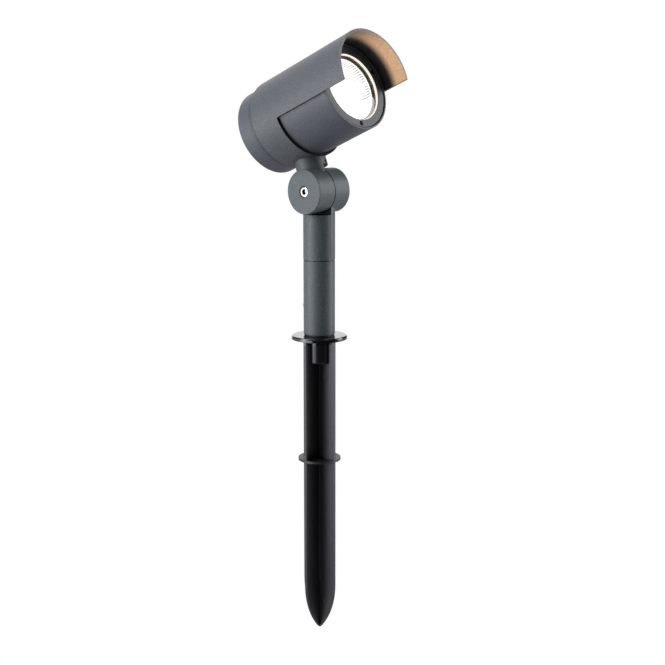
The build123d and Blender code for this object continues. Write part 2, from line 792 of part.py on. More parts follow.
# Thermal pad, light-source board and its emitting disc
with BuildPart() as thermal_pad:
    with BuildSketch(head_plane.offset(sink_face)):
        Rectangle(board_size, board_size)
    extrude(amount=pad_thickness)
finish(thermal_pad, "thermal_pad")

with BuildPart() as led_board:
    with BuildSketch(head_plane.offset(board_back)):
        Rectangle(board_size, board_size)
    extrude(amount=board_thickness)
finish(led_board, "led_board")

with BuildPart() as led_emitter:
    pillar(head_plane, emitter_radius, board_front, board_front + emitter_thickness)
finish(led_emitter, "led_emitter")

# Holder that presses the board on the heat sink
holder_window = emitter_radius + holder_margin
with BuildPart() as led_holder:
    pillar(head_plane, holder_radius, sink_face, holder_front)
    with BuildSketch(head_plane.offset(sink_face)) as board_pocket:
        Rectangle(board_size + loose_gap, board_size + loose_gap)
    extrude(board_pocket.sketch, amount=pad_thickness + board_thickness, mode=Mode.SUBTRACT)
    pillar(head_plane, holder_window, sink_face, holder_front, mode=Mode.SUBTRACT)
    pillar(head_plane, small_screw_radius + seat_gap, sink_face, holder_front,
           holder_screw_places, mode=Mode.SUBTRACT)
    pillar(head_plane, small_head_radius + seat_gap, holder_front - small_head_height, holder_front,
           holder_screw_places, mode=Mode.SUBTRACT)
finish(led_holder, "led_holder")

with BuildPart() as led_holder_screws:
    small_screws(head_plane, holder_screw_places, holder_front - small_head_height,
                 sink_back + 2 * screw_tip_gap)
finish(led_holder_screws, "led_holder_screws")

# Electronics behind the heat sink: potted driver, its screws and the terminal block
standoff_places = [(standoff_pitch, 0), (-standoff_pitch, 0)]
with BuildPart() as driver:
    pillar(head_plane, driver_plate_radius, driver_back, driver_front)
    with BuildSketch(head_plane.offset(driver_front)) as driver_case:
        with Locations((0, driver_shift)):
            RectangleRounded(driver_width, driver_height, driver_corner)
    extrude(driver_case.sketch, amount=driver_length)
    chamfer(driver.faces().sort_by(head_axis)[-1].edges(), length=edge_ease)
    pillar(head_plane, small_screw_radius + seat_gap, driver_back, driver_front, standoff_places,
           mode=Mode.SUBTRACT)
finish(driver, "driver")

with BuildPart() as driver_screws:
    small_screws(head_plane, standoff_places, driver_front, cap_front + overlap)
finish(driver_screws, "driver_screws")

with BuildPart() as terminal_block:
    with BuildSketch(head_plane.offset(driver_front)) as terminal_foot:
        with Locations((0, terminal_drop)):
            Rectangle(terminal_width, terminal_height)
    extrude(terminal_foot.sketch, amount=terminal_length)
    for place in range(-(terminal_ways // 2), terminal_ways // 2 + 1):
        with BuildSketch(head_plane.offset(driver_front + terminal_length)) as terminal_mouth:
            with Locations((place * terminal_width / terminal_ways, terminal_drop)):
                Circle(terminal_hole)
        extrude(terminal_mouth.sketch, amount=-terminal_length / 2, mode=Mode.SUBTRACT)
finish(terminal_block, "terminal_block")

# Rear cap with the driver's standoffs, its seal and its screws
with BuildPart() as rear_cap:
    pillar(head_plane, cap_radius, cap_recess - barrel_back, cap_front)
    pillar(head_plane, standoff_radius, cap_front, driver_back, standoff_places)
    pillar(head_plane, small_screw_radius + seat_gap, cap_front, driver_back, standoff_places,
           mode=Mode.SUBTRACT)
    pillar(head_plane, small_screw_radius + seat_gap, cap_recess - barrel_back, cap_front,
           spots(boss_pitch, boss_angles), mode=Mode.SUBTRACT)
    pillar(head_plane, small_head_radius + seat_gap, cap_recess - barrel_back,
           cap_recess - barrel_back + small_head_height, spots(boss_pitch, boss_angles), mode=Mode.SUBTRACT)
finish(rear_cap, "rear_cap")

with BuildPart() as rear_cap_gasket:
    ring(head_plane, cap_radius, rear_bore + seat_gap, cap_front, cap_ledge)
finish(rear_cap_gasket, "rear_cap_gasket")

with BuildPart() as rear_cap_screws:
    small_screws(head_plane, spots(boss_pitch, boss_angles), cap_recess - barrel_back + small_head_height,
                 cap_ledge + screw_boss_length - 2 * screw_tip_gap, facing=-1)
finish(rear_cap_screws, "rear_cap_screws")
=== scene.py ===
import json
from math import cos, pi, radians, sin, tau

import bmesh
import bpy
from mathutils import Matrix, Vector


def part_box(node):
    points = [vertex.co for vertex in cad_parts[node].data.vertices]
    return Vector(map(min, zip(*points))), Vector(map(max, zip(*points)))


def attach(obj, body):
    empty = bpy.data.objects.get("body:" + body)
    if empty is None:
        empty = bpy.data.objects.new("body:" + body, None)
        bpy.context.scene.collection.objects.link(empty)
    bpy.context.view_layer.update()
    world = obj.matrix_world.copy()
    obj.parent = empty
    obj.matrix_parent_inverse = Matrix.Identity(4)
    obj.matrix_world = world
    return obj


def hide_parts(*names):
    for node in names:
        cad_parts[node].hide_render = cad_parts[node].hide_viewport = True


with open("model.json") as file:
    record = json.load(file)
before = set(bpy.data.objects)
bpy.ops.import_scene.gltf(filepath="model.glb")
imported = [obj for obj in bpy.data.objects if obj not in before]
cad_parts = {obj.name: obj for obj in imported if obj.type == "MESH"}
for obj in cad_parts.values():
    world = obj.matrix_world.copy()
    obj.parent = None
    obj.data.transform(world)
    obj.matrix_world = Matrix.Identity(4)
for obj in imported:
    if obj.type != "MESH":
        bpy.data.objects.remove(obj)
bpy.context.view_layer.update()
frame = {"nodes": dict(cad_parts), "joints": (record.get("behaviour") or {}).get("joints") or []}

bl_info = {
    "name": "Garden spike spotlight",
    "version": (1, 0, 0),
    "blender": (4, 5, 0),
    "location": "3D View > Sidebar > Spotlight",
    "description": "Models and finishes the visible pieces of a garden spotlight on its ground spike",
    "category": "Object",
}

MM = 0.001
MERGE = 1e-6

# Steps round a turned piece
HOOD_STEPS = 192
SADDLE_STEPS = 146
ROUND_STEPS = 144
TUBE_STEPS = 96
HOLE_STEPS = 64
SCREW_STEPS = 48
SMALL_STEPS = 32
HEX_STEPS = 6
BOWL_FACETS = 74

# Angles round the head and the neck, and the small turn that keeps a cut off a piece's corners
BEZEL_SCREW_ANGLES = (53, 173, 293)
CAP_SCREW_ANGLES = (60, 180, 300)
SET_SCREW_TURN = radians(18)
CUTOUT_ANGLE = radians(96.3)
CUT_TURN = radians(0.73)

UP = Vector((0, 0, 1))
FORWARD = Vector((1, 0, 0))
ACROSS = Vector((0, 1, 0))
PIVOT = Vector(frame["joints"][1]["pos_m"])
AIM_ANGLE = radians(22.5)
AIM = Vector((cos(AIM_ANGLE), 0, sin(AIM_ANGLE)))
UPRIGHT = Vector((-sin(AIM_ANGLE), 0, cos(AIM_ANGLE)))
HEAD_OFFSET = 65.0 * MM
HEAD_CENTRE = PIVOT + UPRIGHT * HEAD_OFFSET

# Each line that pieces are turned about: its origin, its direction and the side a half section is drawn on
STEM_LINE = (Vector((0, 0, 0)), UP, FORWARD)
HEAD_LINE = (HEAD_CENTRE, AIM, UPRIGHT)
SADDLE_LINE = (HEAD_CENTRE, AIM, ACROSS)
NECK_LINE = (PIVOT, UPRIGHT, AIM)
FRONT_LUG_LINE = (PIVOT, Vector((0, -1, 0)), FORWARD)
REAR_LUG_LINE = (PIVOT, ACROSS, FORWARD)

# In millimetres: the stem's ledge below the front disc, and the friction washer's recess in each disc
LEDGE_HEIGHT = 106.65
FRICTION_RECESS = [(12.55, -1.0), (17.25, -1.0), (17.25, 0.85), (12.55, 0.85)]

BLACK = (0.0, 0.0, 0.0)
WHITE = (1.0, 1.0, 1.0)
# Colour of painted shade: behind the sleeve's rear edge, on the hood's unlit lining and on the sleeve's cut
# end
PAINTED_SHADE = (0.008, 0.008, 0.008)

# The solids that keep their shape, by the material that each one gets
INNER_FINISHES = {
    "soft_black_rubber": (
        "base_washer", "cable_grommet", "swivel_seal", "friction_washer", "neck_gasket", "rear_cap_gasket",
    ),
    "black_nylon": ("thrust_washer",),
    "turned_brass": ("stem_plug", "swivel_spigot", "pivot_insert"),
    "plain_steel": (
        "spike_stud", "swivel_clip", "spring_washer", "neck_screws", "heat_sink_screws",
        "led_holder_screws", "driver_screws",
    ),
    "drawn_aluminium": ("heat_sink", "led_board"),
    "thermal_pad_grey": ("thermal_pad",),
    "white_holder_plastic": ("led_holder",),
    "driver_case_plastic": ("driver",),
    "terminal_grey_plastic": ("terminal_block",),
}

# The studio, in metres: the camera, each light's size and place, and directions on the floor
CAMERA_PLACE = (0.77507, -0.82972, 0.21746)
CAMERA_TURN = (radians(79.4), 0, radians(42.48))
CAMERA_LENS, SENSOR_WIDTH = 73.08, 36.0
FLOOR_RADIUS, FLOOR_INSET, FLOOR_GAP = 9.0, 1.5, 0.2 * MM
LAMP_MIDDLE = Vector((0, 0, 0.05))
LIGHTS = (
    ("key", (0.9, 2.2), (-0.9, -1.88, 0.82)),
    ("rim", (1.0, 2.0), (1.35, 1.7, 0.65)),
    ("top", (1.4, 1.4), (-0.5, 0.2, 2.0)),
    ("back", (2.6, 2.2), (-2.1, 1.6, 0.3)),
    ("low", (1.05, 0.26), (-0.27, -0.96, -0.125)),
)
TO_THE_BACK = Vector((-0.68, 0.73, 0))
TO_THE_LEFT = Vector((-0.731, -0.683, 0))
TO_THE_RIGHT = Vector((0.682, 0.731, 0))


def length(name, description, value):
    """A size of the spotlight that a user may change, given in millimetres."""
    return bpy.props.FloatProperty(
        name=name, description=description, default=value * MM, min=0.0, precision=5,
        subtype="DISTANCE", unit="LENGTH",
    )


def colour(name, description, value):
    """A finish colour that a user may change."""
    return bpy.props.FloatVectorProperty(
        name=name, description=description, default=value, size=3, min=0.0, max=1.0, subtype="COLOR",
    )


def power(name, description, value):
    """The strength of a light that a user may change."""
    return bpy.props.FloatProperty(name=name, description=description, default=value, min=0.0)


class SpotlightSizes(bpy.types.PropertyGroup):
    """Sizes of the visible pieces."""

    tube_radius: length("Upper tube radius", "Outside radius of the stem's upper tube", 13.5)
    lower_radius: length("Lower tube radius", "Outside radius of the stem's lower tube", 13.4)
    lug_radius: length("Knuckle radius", "Radius of the two discs of the tilting knuckle", 18.65)
    sleeve_radius: length("Sleeve radius", "Outside radius of the hooded sleeve", 39.2)
    sleeve_bore: length("Sleeve bore", "Inside radius of the hooded sleeve", 37.1)
    barrel_radius: length("Barrel radius", "Outside radius of the sealed barrel", 36.8)
    flange_radius: length("Flange radius", "Radius of the ground flange", 23.7)
    fin_reach: length("Fin reach", "Distance from the axis to a fin's outer edge", 17.8)
    fin_thickness: length("Fin thickness", "Thickness of the spike's fins", 2.3)
    edge_round: length("Edge rounding", "Rounding of the hooded sleeve's edges", 0.35)
    cut_round: length("Cut edge rounding", "Rounding of the knuckle's machined edges", 0.15)
    mould_round: length("Mould rounding", "Rounding of the moulded spike's edges", 0.3)


class SpotlightFinishes(bpy.types.PropertyGroup):
    """Colours of the visible pieces."""

    coat: colour("Powder coat", "Anthracite powder coat of stem, knuckle and bezel", (0.081, 0.100, 0.113))
    sleeve: colour("Sleeve coat", "Anthracite powder coat of the sleeve and the hood", (0.093, 0.104, 0.121))
    barrel: colour("Barrel coat", "Slightly bluer coat of the inner barrel", (0.087, 0.096, 0.120))
    spike: colour("Spike plastic", "Glossy black plastic of the ground spike", (0.0022, 0.0022, 0.0026))
    collar: colour("Collar plastic", "Dark brown plastic behind the edge of the glass", (0.115, 0.082, 0.058))
    # The lamp's light painted as a glow in the gasket's lip
    glow: colour("Lamp light", "Warm white of the light in the gasket's lip", (1.0, 0.93, 0.82))
    # The lamp's light painted on the hood's lining
    hood_glow: colour("Light on the hood", "Colour of the lamp's light on the lining", (0.66, 0.385, 0.205))


class StudioSettings(bpy.types.PropertyGroup):
    """Strengths of the studio's lights."""

    key: power("Key light", "Power of the large light on the left", 43.0)
    rim: power("Rim light", "Power of the light behind on the right", 40.0)
    top: power("Top light", "Power of the light overhead", 20.0)
    back: power("Back light", "Power of the wide light behind", 28.0)
    low: power("Low light", "Power of the low light on the left", 2.1)
    floor: power("Floor light", "Brightness of the lit floor on the left and the right", 1.3)
    room: power("Room light", "Brightness of the pale room", 0.09)


# Modelling


def clear_selection():
    """Leave edit mode and deselect everything."""
    if bpy.context.object and bpy.context.object.mode != "OBJECT":
        bpy.ops.object.mode_set(mode="OBJECT")
    bpy.ops.object.select_all(action="DESELECT")


def choose(piece):
    """Make one object the active and only selected one."""
    clear_selection()
    piece.select_set(True)
    bpy.context.view_layer.objects.active = piece


def apply_place():
    """Put the place, turn and scale of the chosen object in its mesh."""
    bpy.ops.object.transform_apply(location=True, rotation=True, scale=True)


def apply_modifier(piece, kind, **settings):
    """Give the chosen piece a modifier with its settings, and apply it."""
    bpy.ops.object.modifier_add(type=kind)
    modifier = piece.modifiers[-1]
    for name, value in settings.items():
        setattr(modifier, name, value)
    bpy.ops.object.modifier_apply(modifier=modifier.name)


def select_places(piece, corners):
    """In edit mode, select the vertices that lie on the given places of the scene."""
    bpy.ops.mesh.select_all(action="DESELECT")
    mesh = bmesh.from_edit_mesh(piece.data)
    for vertex in mesh.verts:
        at = piece.matrix_world @ vertex.co
        vertex.select_set(any((at - corner).length < MERGE for corner in corners))
    mesh.select_flush_mode()
    bmesh.update_edit_mesh(piece.data)


def first_point(name, place):
    """Start a piece as a small plane merged to one point, in edit mode."""
    clear_selection()
    bpy.ops.mesh.primitive_plane_add(size=MM, location=place)
    piece = bpy.context.object
    piece.name = name
    piece.data.name = name
    bpy.ops.object.mode_set(mode="EDIT")
    bpy.ops.mesh.select_all(action="SELECT")
    bpy.ops.mesh.merge(type="CENTER")
    return piece


def draw_outline(name, places, rounds=(), closed=True, segments=4):
    """Draw an outline point by point, and round the corners that have a rounding."""
    piece = first_point(name, places[0])
    for here, there in zip(places, places[1:]):
        bpy.ops.mesh.extrude_vertices_move(TRANSFORM_OT_translate={"value": there - here})
    if closed:
        select_places(piece, (places[0], places[-1]))
        bpy.ops.mesh.edge_face_add()
    for rounding in sorted({r for r in rounds if r}):
        select_places(piece, [place for place, r in zip(places, rounds) if r == rounding])
        bpy.ops.mesh.bevel(offset=rounding, segments=segments, affect="VERTICES")
    return piece


def settle(piece):
    """Merge what lies double, turn all faces outwards and set the piece's place in its mesh."""
    bpy.ops.mesh.select_all(action="SELECT")
    bpy.ops.mesh.remove_doubles(threshold=MERGE)
    bpy.ops.mesh.normals_make_consistent(inside=False)
    bpy.ops.object.mode_set(mode="OBJECT")
    choose(piece)
    apply_place()
    return piece


def turned(name, line, section, steps=ROUND_STEPS, closed=True, segments=4):
    """Spin a half section, of (radius, height, rounding) in millimetres, about a line."""
    origin, axis, side = line
    places = [origin + axis * point[1] * MM + side * point[0] * MM for point in section]
    rounds = [point[2] * MM if len(point) > 2 else 0.0 for point in section]
    piece = draw_outline(name, places, rounds, closed, segments)
    bpy.ops.mesh.select_all(action="SELECT")
    bpy.ops.mesh.spin(steps=steps, angle=tau, center=origin, axis=axis)
    return settle(piece)


def solid(name, line, section, steps=ROUND_STEPS, segments=4):
    """A turned piece whose section starts and ends on the line itself."""
    first, last = (0.0, section[0][1]), (0.0, section[-1][1])
    return turned(name, line, [first, *section, last], steps, closed=False, segments=segments)


def twisted(line):
    """The same line with its side turned a little, so that a cut meets no corner of the piece."""
    origin, axis, side = line
    return origin, axis, side * cos(CUT_TURN) + axis.cross(side) * sin(CUT_TURN)


def bar(name, line, radius, start, end, steps=ROUND_STEPS):
    """A plain round bar along a line, used to cut or to join."""
    return solid(name, twisted(line), [(radius, start), (radius, end)], steps)


def plate(name, places, depth):
    """Fill a flat outline and extrude it."""
    piece = draw_outline(name, places)
    bpy.ops.mesh.select_all(action="SELECT")
    bpy.ops.mesh.edge_face_add()
    bpy.ops.mesh.extrude_region_move(TRANSFORM_OT_translate={"value": depth})
    return settle(piece)


def lines_round(line, radius, angles):
    """Lines parallel to the given one, at a radius in millimetres and at angles in degrees round it."""
    origin, axis, side = line
    other = axis.cross(side)
    return [
        (origin + (side * cos(angle) + other * sin(angle)) * radius * MM, axis, side)
        for angle in map(radians, angles)
    ]


def combine(piece, others, operation):
    """Join other solids to a piece, or cut them from it."""
    for other in others:
        choose(piece)
        apply_modifier(piece, "BOOLEAN", operation=operation, solver="EXACT", object=other)
        bpy.data.objects.remove(other, do_unlink=True)


def soften(piece, width, angle=30.0):
    """Round all edges sharper than an angle."""
    choose(piece)
    bpy.ops.object.mode_set(mode="EDIT")
    bpy.ops.mesh.select_all(action="SELECT")
    bpy.ops.mesh.remove_doubles(threshold=0.02 * MM)
    bpy.ops.mesh.dissolve_degenerate(threshold=0.01 * MM)
    bpy.ops.object.mode_set(mode="OBJECT")
    apply_modifier(
        piece, "BEVEL", width=width, segments=2, limit_method="ANGLE", angle_limit=radians(angle),
        use_clamp_overlap=True,
    )


def sink_screws(piece, lines, section):
    """Cut the same stepped screw hole from a piece on every line."""
    combine(piece, [solid("screw_seat", twisted(line), section, SMALL_STEPS) for line in lines], "DIFFERENCE")


def socket_screws(name, lines, section, drive):
    """The same screw on every line as one object, its hexagon given as radius, start and end."""
    screw = solid(name, lines[0], section, SMALL_STEPS)
    combine(screw, [bar("drive", lines[0], *drive, HEX_STEPS)], "DIFFERENCE")
    made = []
    for line in lines:
        choose(screw)
        bpy.ops.object.duplicate(linked=False)
        twin = bpy.context.object
        twin.location = line[0] - lines[0][0]
        made.append(twin)
    bpy.data.objects.remove(screw, do_unlink=True)
    clear_selection()
    for twin in made:
        twin.select_set(True)
    bpy.context.view_layer.objects.active = made[0]
    bpy.ops.object.join()
    apply_place()
    return made[0]


def place_piece(piece, name, body, node, material, smooth=35.0, weighted=True):
    """Name, shade and finish a piece, and let it ride on its body in place of a solid."""
    choose(piece)
    if smooth:
        bpy.ops.object.shade_smooth_by_angle(angle=radians(smooth))
    if smooth and weighted:
        apply_modifier(piece, "WEIGHTED_NORMAL", keep_sharp=True)
    piece.name = name
    piece.data.name = name
    piece.data.materials.clear()
    piece.data.materials.append(bpy.data.materials[material])
    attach(piece, body)
    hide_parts(node)


# Nodes


def feed(tree, socket, value):
    """Link an input to another node's output, or give it a value."""
    if isinstance(value, bpy.types.NodeSocket):
        tree.links.new(value, socket)
    else:
        socket.default_value = value


def add_node(tree, kind, inputs, **settings):
    """Add a node with its settings, feed its inputs, and return its outputs."""
    node = tree.nodes.new(kind)
    for name, value in settings.items():
        setattr(node, name, value)
    for name, value in inputs.items():
        feed(tree, node.inputs[name], value)
    return node.outputs


def math(tree, operation, *values, clamp=False):
    """The result of a Math node that is fed by sockets or numbers."""
    inputs = dict(enumerate(values))
    return add_node(tree, "ShaderNodeMath", inputs, operation=operation, use_clamp=clamp)[0]


def plus(tree, first, second, clamp=False):
    """The sum of two sockets or numbers."""
    return math(tree, "ADD", first, second, clamp=clamp)


def minus(tree, first, second):
    """The first less the second."""
    return math(tree, "SUBTRACT", first, second)


def times(tree, first, second, clamp=False):
    """The product of two sockets or numbers."""
    return math(tree, "MULTIPLY", first, second, clamp=clamp)


def larger(tree, first, second):
    """The larger of two sockets or numbers."""
    return math(tree, "MAXIMUM", first, second)


def absolute(tree, value):
    """A number without its sign."""
    return math(tree, "ABSOLUTE", value)


def squared(tree, value):
    """A number times itself."""
    return math(tree, "POWER", value, 2.0)


def rise(tree, value, low, high):
    """Rise smoothly from 0 at low to 1 at high."""
    inputs = {"From Min": low, "From Max": high, "Value": value}
    return add_node(tree, "ShaderNodeMapRange", inputs, interpolation_type="SMOOTHSTEP")["Result"]


def rise_mm(tree, value, low, high):
    """Rise smoothly from 0 at low to 1 at high, both given in millimetres."""
    return rise(tree, value, low * MM, high * MM)


def noise(tree, vector, scale, detail, roughness=0.5):
    """A Noise Texture's value at a place."""
    inputs = {"Vector": vector, "Scale": scale, "Detail": detail, "Roughness": roughness}
    return add_node(tree, "ShaderNodeTexNoise", inputs)["Fac"]


def apart(tree, vector):
    """The X, Y and Z of a place."""
    return add_node(tree, "ShaderNodeSeparateXYZ", {"Vector": vector})


def seen_from(tree, vector, origin):
    """A place as it is seen from another origin."""
    return add_node(tree, "ShaderNodeMapping", {"Vector": vector, "Location": -origin})["Vector"]


def dot(tree, vector, direction):
    """How far a place lies along a direction."""
    return add_node(tree, "ShaderNodeVectorMath", {0: vector, 1: direction}, operation="DOT_PRODUCT")["Value"]


def distance(tree, vector):
    """How far a place lies from the origin."""
    return add_node(tree, "ShaderNodeVectorMath", {0: vector}, operation="LENGTH")["Value"]


def new_group(name, inputs, outputs):
    """A node group with named number inputs, and a vector input for the place on the piece."""
    group = bpy.data.node_groups.new(name, "ShaderNodeTree")
    group.interface.new_socket("Vector", in_out="INPUT", socket_type="NodeSocketVector")
    for socket, value in inputs.items():
        made = group.interface.new_socket(socket, in_out="INPUT", socket_type="NodeSocketFloat")
        made.default_value = value
    for socket in outputs:
        group.interface.new_socket(socket, in_out="OUTPUT", socket_type="NodeSocketFloat")
    return group, group.nodes.new("NodeGroupInput").outputs, group.nodes.new("NodeGroupOutput").inputs


def grain_group():
    """Fine grain: cells of a textured coat or a moulded skin, with a slow drift of tone."""
    defaults = {"Scale": 2600.0, "Tone": 0.15, "Drift": 0.06}
    group, given, out = new_group("fine_grain", defaults, ("Mask", "Height", "Rough"))
    vector, scale = given["Vector"], given["Scale"]
    inputs = {"Vector": vector, "Scale": scale, "Smoothness": 0.6}
    cells = add_node(group, "ShaderNodeTexVoronoi", inputs, feature="SMOOTH_F1")["Distance"]
    fine = noise(group, vector, times(group, scale, 1.7), 3.0)
    slow = noise(group, vector, times(group, scale, 0.014), 2.0)
    height = plus(group, times(group, cells, 0.7), times(group, fine, 0.6))
    speck = times(group, minus(group, height, 0.6), given["Tone"])
    drift = times(group, minus(group, slow, 0.5), given["Drift"])
    feed(group, out["Mask"], plus(group, plus(group, speck, drift), 0.5, clamp=True))
    feed(group, out["Height"], height)
    feed(group, out["Rough"], plus(group, times(group, fine, 0.5), times(group, slow, 0.5)))


def dust_group():
    """Dust and handling: a thin veil that gathers on faces that look up."""
    group, given, out = new_group("dust_veil", {"Amount": 0.1, "Scale": 60.0}, ("Mask",))
    normal = add_node(group, "ShaderNodeNewGeometry", {})["Normal"]
    facing = rise(group, apart(group, normal)["Z"], 0.2, 1.0)
    patches = noise(group, given["Vector"], given["Scale"], 5.0, 0.65)
    amount = times(group, plus(group, facing, 0.25), given["Amount"])
    feed(group, out["Mask"], times(group, patches, amount, clamp=True))


def lathe_group():
    """Turning marks: fine rings across a direction of the piece."""
    group, given, out = new_group("turning_marks", {"Scale": 1800.0}, ("Height", "Rough"))
    inputs = {"Vector": given["Vector"], "Scale": given["Scale"], "Distortion": 0.6, "Detail": 2.0}
    rings = add_node(group, "ShaderNodeTexWave", inputs, wave_type="BANDS", bands_direction="Z")["Fac"]
    scratches = noise(group, given["Vector"], 900.0, 3.0)
    feed(group, out["Height"], rings)
    feed(group, out["Rough"], times(group, rings, scratches))


# Materials


class Surface:
    """A material under construction: its shader, and the place on the piece."""

    def __init__(self, name, metallic=0.0):
        self.material = bpy.data.materials.new(name)
        self.material.use_nodes = True
        self.tree = self.material.node_tree
        self.shader = self.tree.nodes["Principled BSDF"]
        self.place = add_node(self.tree, "ShaderNodeTexCoord", {})["Object"]
        self.set("Metallic", metallic)

    def set(self, name, value):
        """Link one of the shader's inputs, or give it a value."""
        feed(self.tree, self.shader.inputs[name], value)

    def group(self, name, **values):
        """Place a shared node group in this material with its own values."""
        inputs = {"Vector": self.place, **values}
        return add_node(self.tree, "ShaderNodeGroup", inputs, node_tree=bpy.data.node_groups[name])

    def mix(self, mask, first, second):
        """Go with a mask from one colour, or colour socket, to a second colour."""
        start = first if isinstance(first, bpy.types.NodeSocket) else (*first, 1.0)
        inputs = {"Factor": mask, "A": start, "B": (*second, 1.0)}
        return add_node(self.tree, "ShaderNodeMix", inputs, data_type="RGBA")["Result"]

    def rough(self, mask, middle, spread):
        """Vary the roughness about a middle value."""
        inputs = {"Value": mask, "To Min": max(middle - spread, 0.02), "To Max": min(middle + spread, 1.0)}
        self.set("Roughness", add_node(self.tree, "ShaderNodeMapRange", inputs)["Result"])

    def wear(self, mask):
        """Raise the roughness that is already set to fully rough where a mask says so."""
        fine = self.shader.inputs["Roughness"].links[0].from_socket
        self.set("Roughness", larger(self.tree, fine, mask))

    def bump(self, height, strength, depth):
        """Raise the surface by a height, in metres at full value."""
        inputs = {"Height": height, "Strength": strength, "Distance": depth}
        self.set("Normal", add_node(self.tree, "ShaderNodeBump", inputs)["Normal"])

    def glow(self, socket, strength=1.0):
        """Let the surface give light of a colour socket."""
        self.set("Emission Color", socket)
        self.set("Emission Strength", strength)


def shade(base, factor):
    """A darker or lighter version of a colour."""
    return tuple(min(channel * factor, 1.0) for channel in base)


def coated(name, base, roughness=0.5):
    """Fine textured powder coat."""
    surface = Surface(name)
    grain = surface.group("fine_grain", Scale=1100.0, Tone=2.2, Drift=0.3)
    dust = surface.group("dust_veil", Amount=0.1, Scale=70.0)
    colours = surface.mix(grain["Mask"], shade(base, 0.72), shade(base, 1.3))
    surface.coat = surface.mix(dust["Mask"], colours, (0.3, 0.3, 0.3))
    surface.set("Base Color", surface.coat)
    surface.rough(grain["Rough"], roughness, 0.09)
    surface.bump(grain["Height"], 0.35, 0.06 * MM)
    return surface


def ledge_shade(tree, height):
    """Painted shade on the stem's ledge below the front disc."""
    away = absolute(tree, minus(tree, height, LEDGE_HEIGHT * MM))
    return minus(tree, 1.0, rise_mm(tree, away, 0.05, 0.2))


def neck_shade(tree, height):
    """Painted shade on the neck close below the sleeve."""
    return times(tree, rise_mm(tree, height, 136.0, 144.0), 0.3)


def knuckle_coat(name, base, shaded):
    """Powder coat of the knuckle, with painted shade in the seam between its halves and where it is shaded.
    """
    surface = coated(name, base)
    tree = surface.tree
    split = apart(tree, surface.place)
    # Painted shade in the gap between the two discs
    seam = minus(tree, 1.0, rise_mm(tree, absolute(tree, split["Y"]), 0.6, 0.8))
    dark = larger(tree, seam, shaded(tree, split["Z"]))
    surface.set("Base Color", surface.mix(dark, surface.coat, (0.006, 0.006, 0.006)))


def moulded(name, base, roughness, grain_scale=1500.0, depth=0.01, dusty=0.05):
    """Moulded plastic or rubber with a fine skin."""
    surface = Surface(name)
    grain = surface.group("fine_grain", Scale=grain_scale, Tone=0.5, Drift=0.5)
    dust = surface.group("dust_veil", Amount=dusty, Scale=90.0)
    colours = surface.mix(grain["Mask"], shade(base, 0.8), shade(base, 1.25))
    surface.set("Base Color", surface.mix(dust["Mask"], colours, (0.25, 0.25, 0.24)))
    surface.rough(grain["Rough"], roughness, 0.06)
    surface.bump(grain["Height"], 0.25, depth * MM)
    return surface


def machined(name, base, roughness, scale=1800.0, marked=0.2):
    """Turned or drawn metal with fine tool marks."""
    surface = Surface(name, metallic=1.0)
    marks = surface.group("turning_marks", Scale=scale)
    grain = surface.group("fine_grain", Scale=1200.0, Tone=0.6, Drift=0.4)
    surface.bare = surface.mix(grain["Mask"], shade(base, 0.85), shade(base, 1.1))
    surface.set("Base Color", surface.bare)
    surface.rough(marks["Rough"], roughness, 0.07)
    surface.bump(marks["Height"], marked, 0.01 * MM)
    return surface


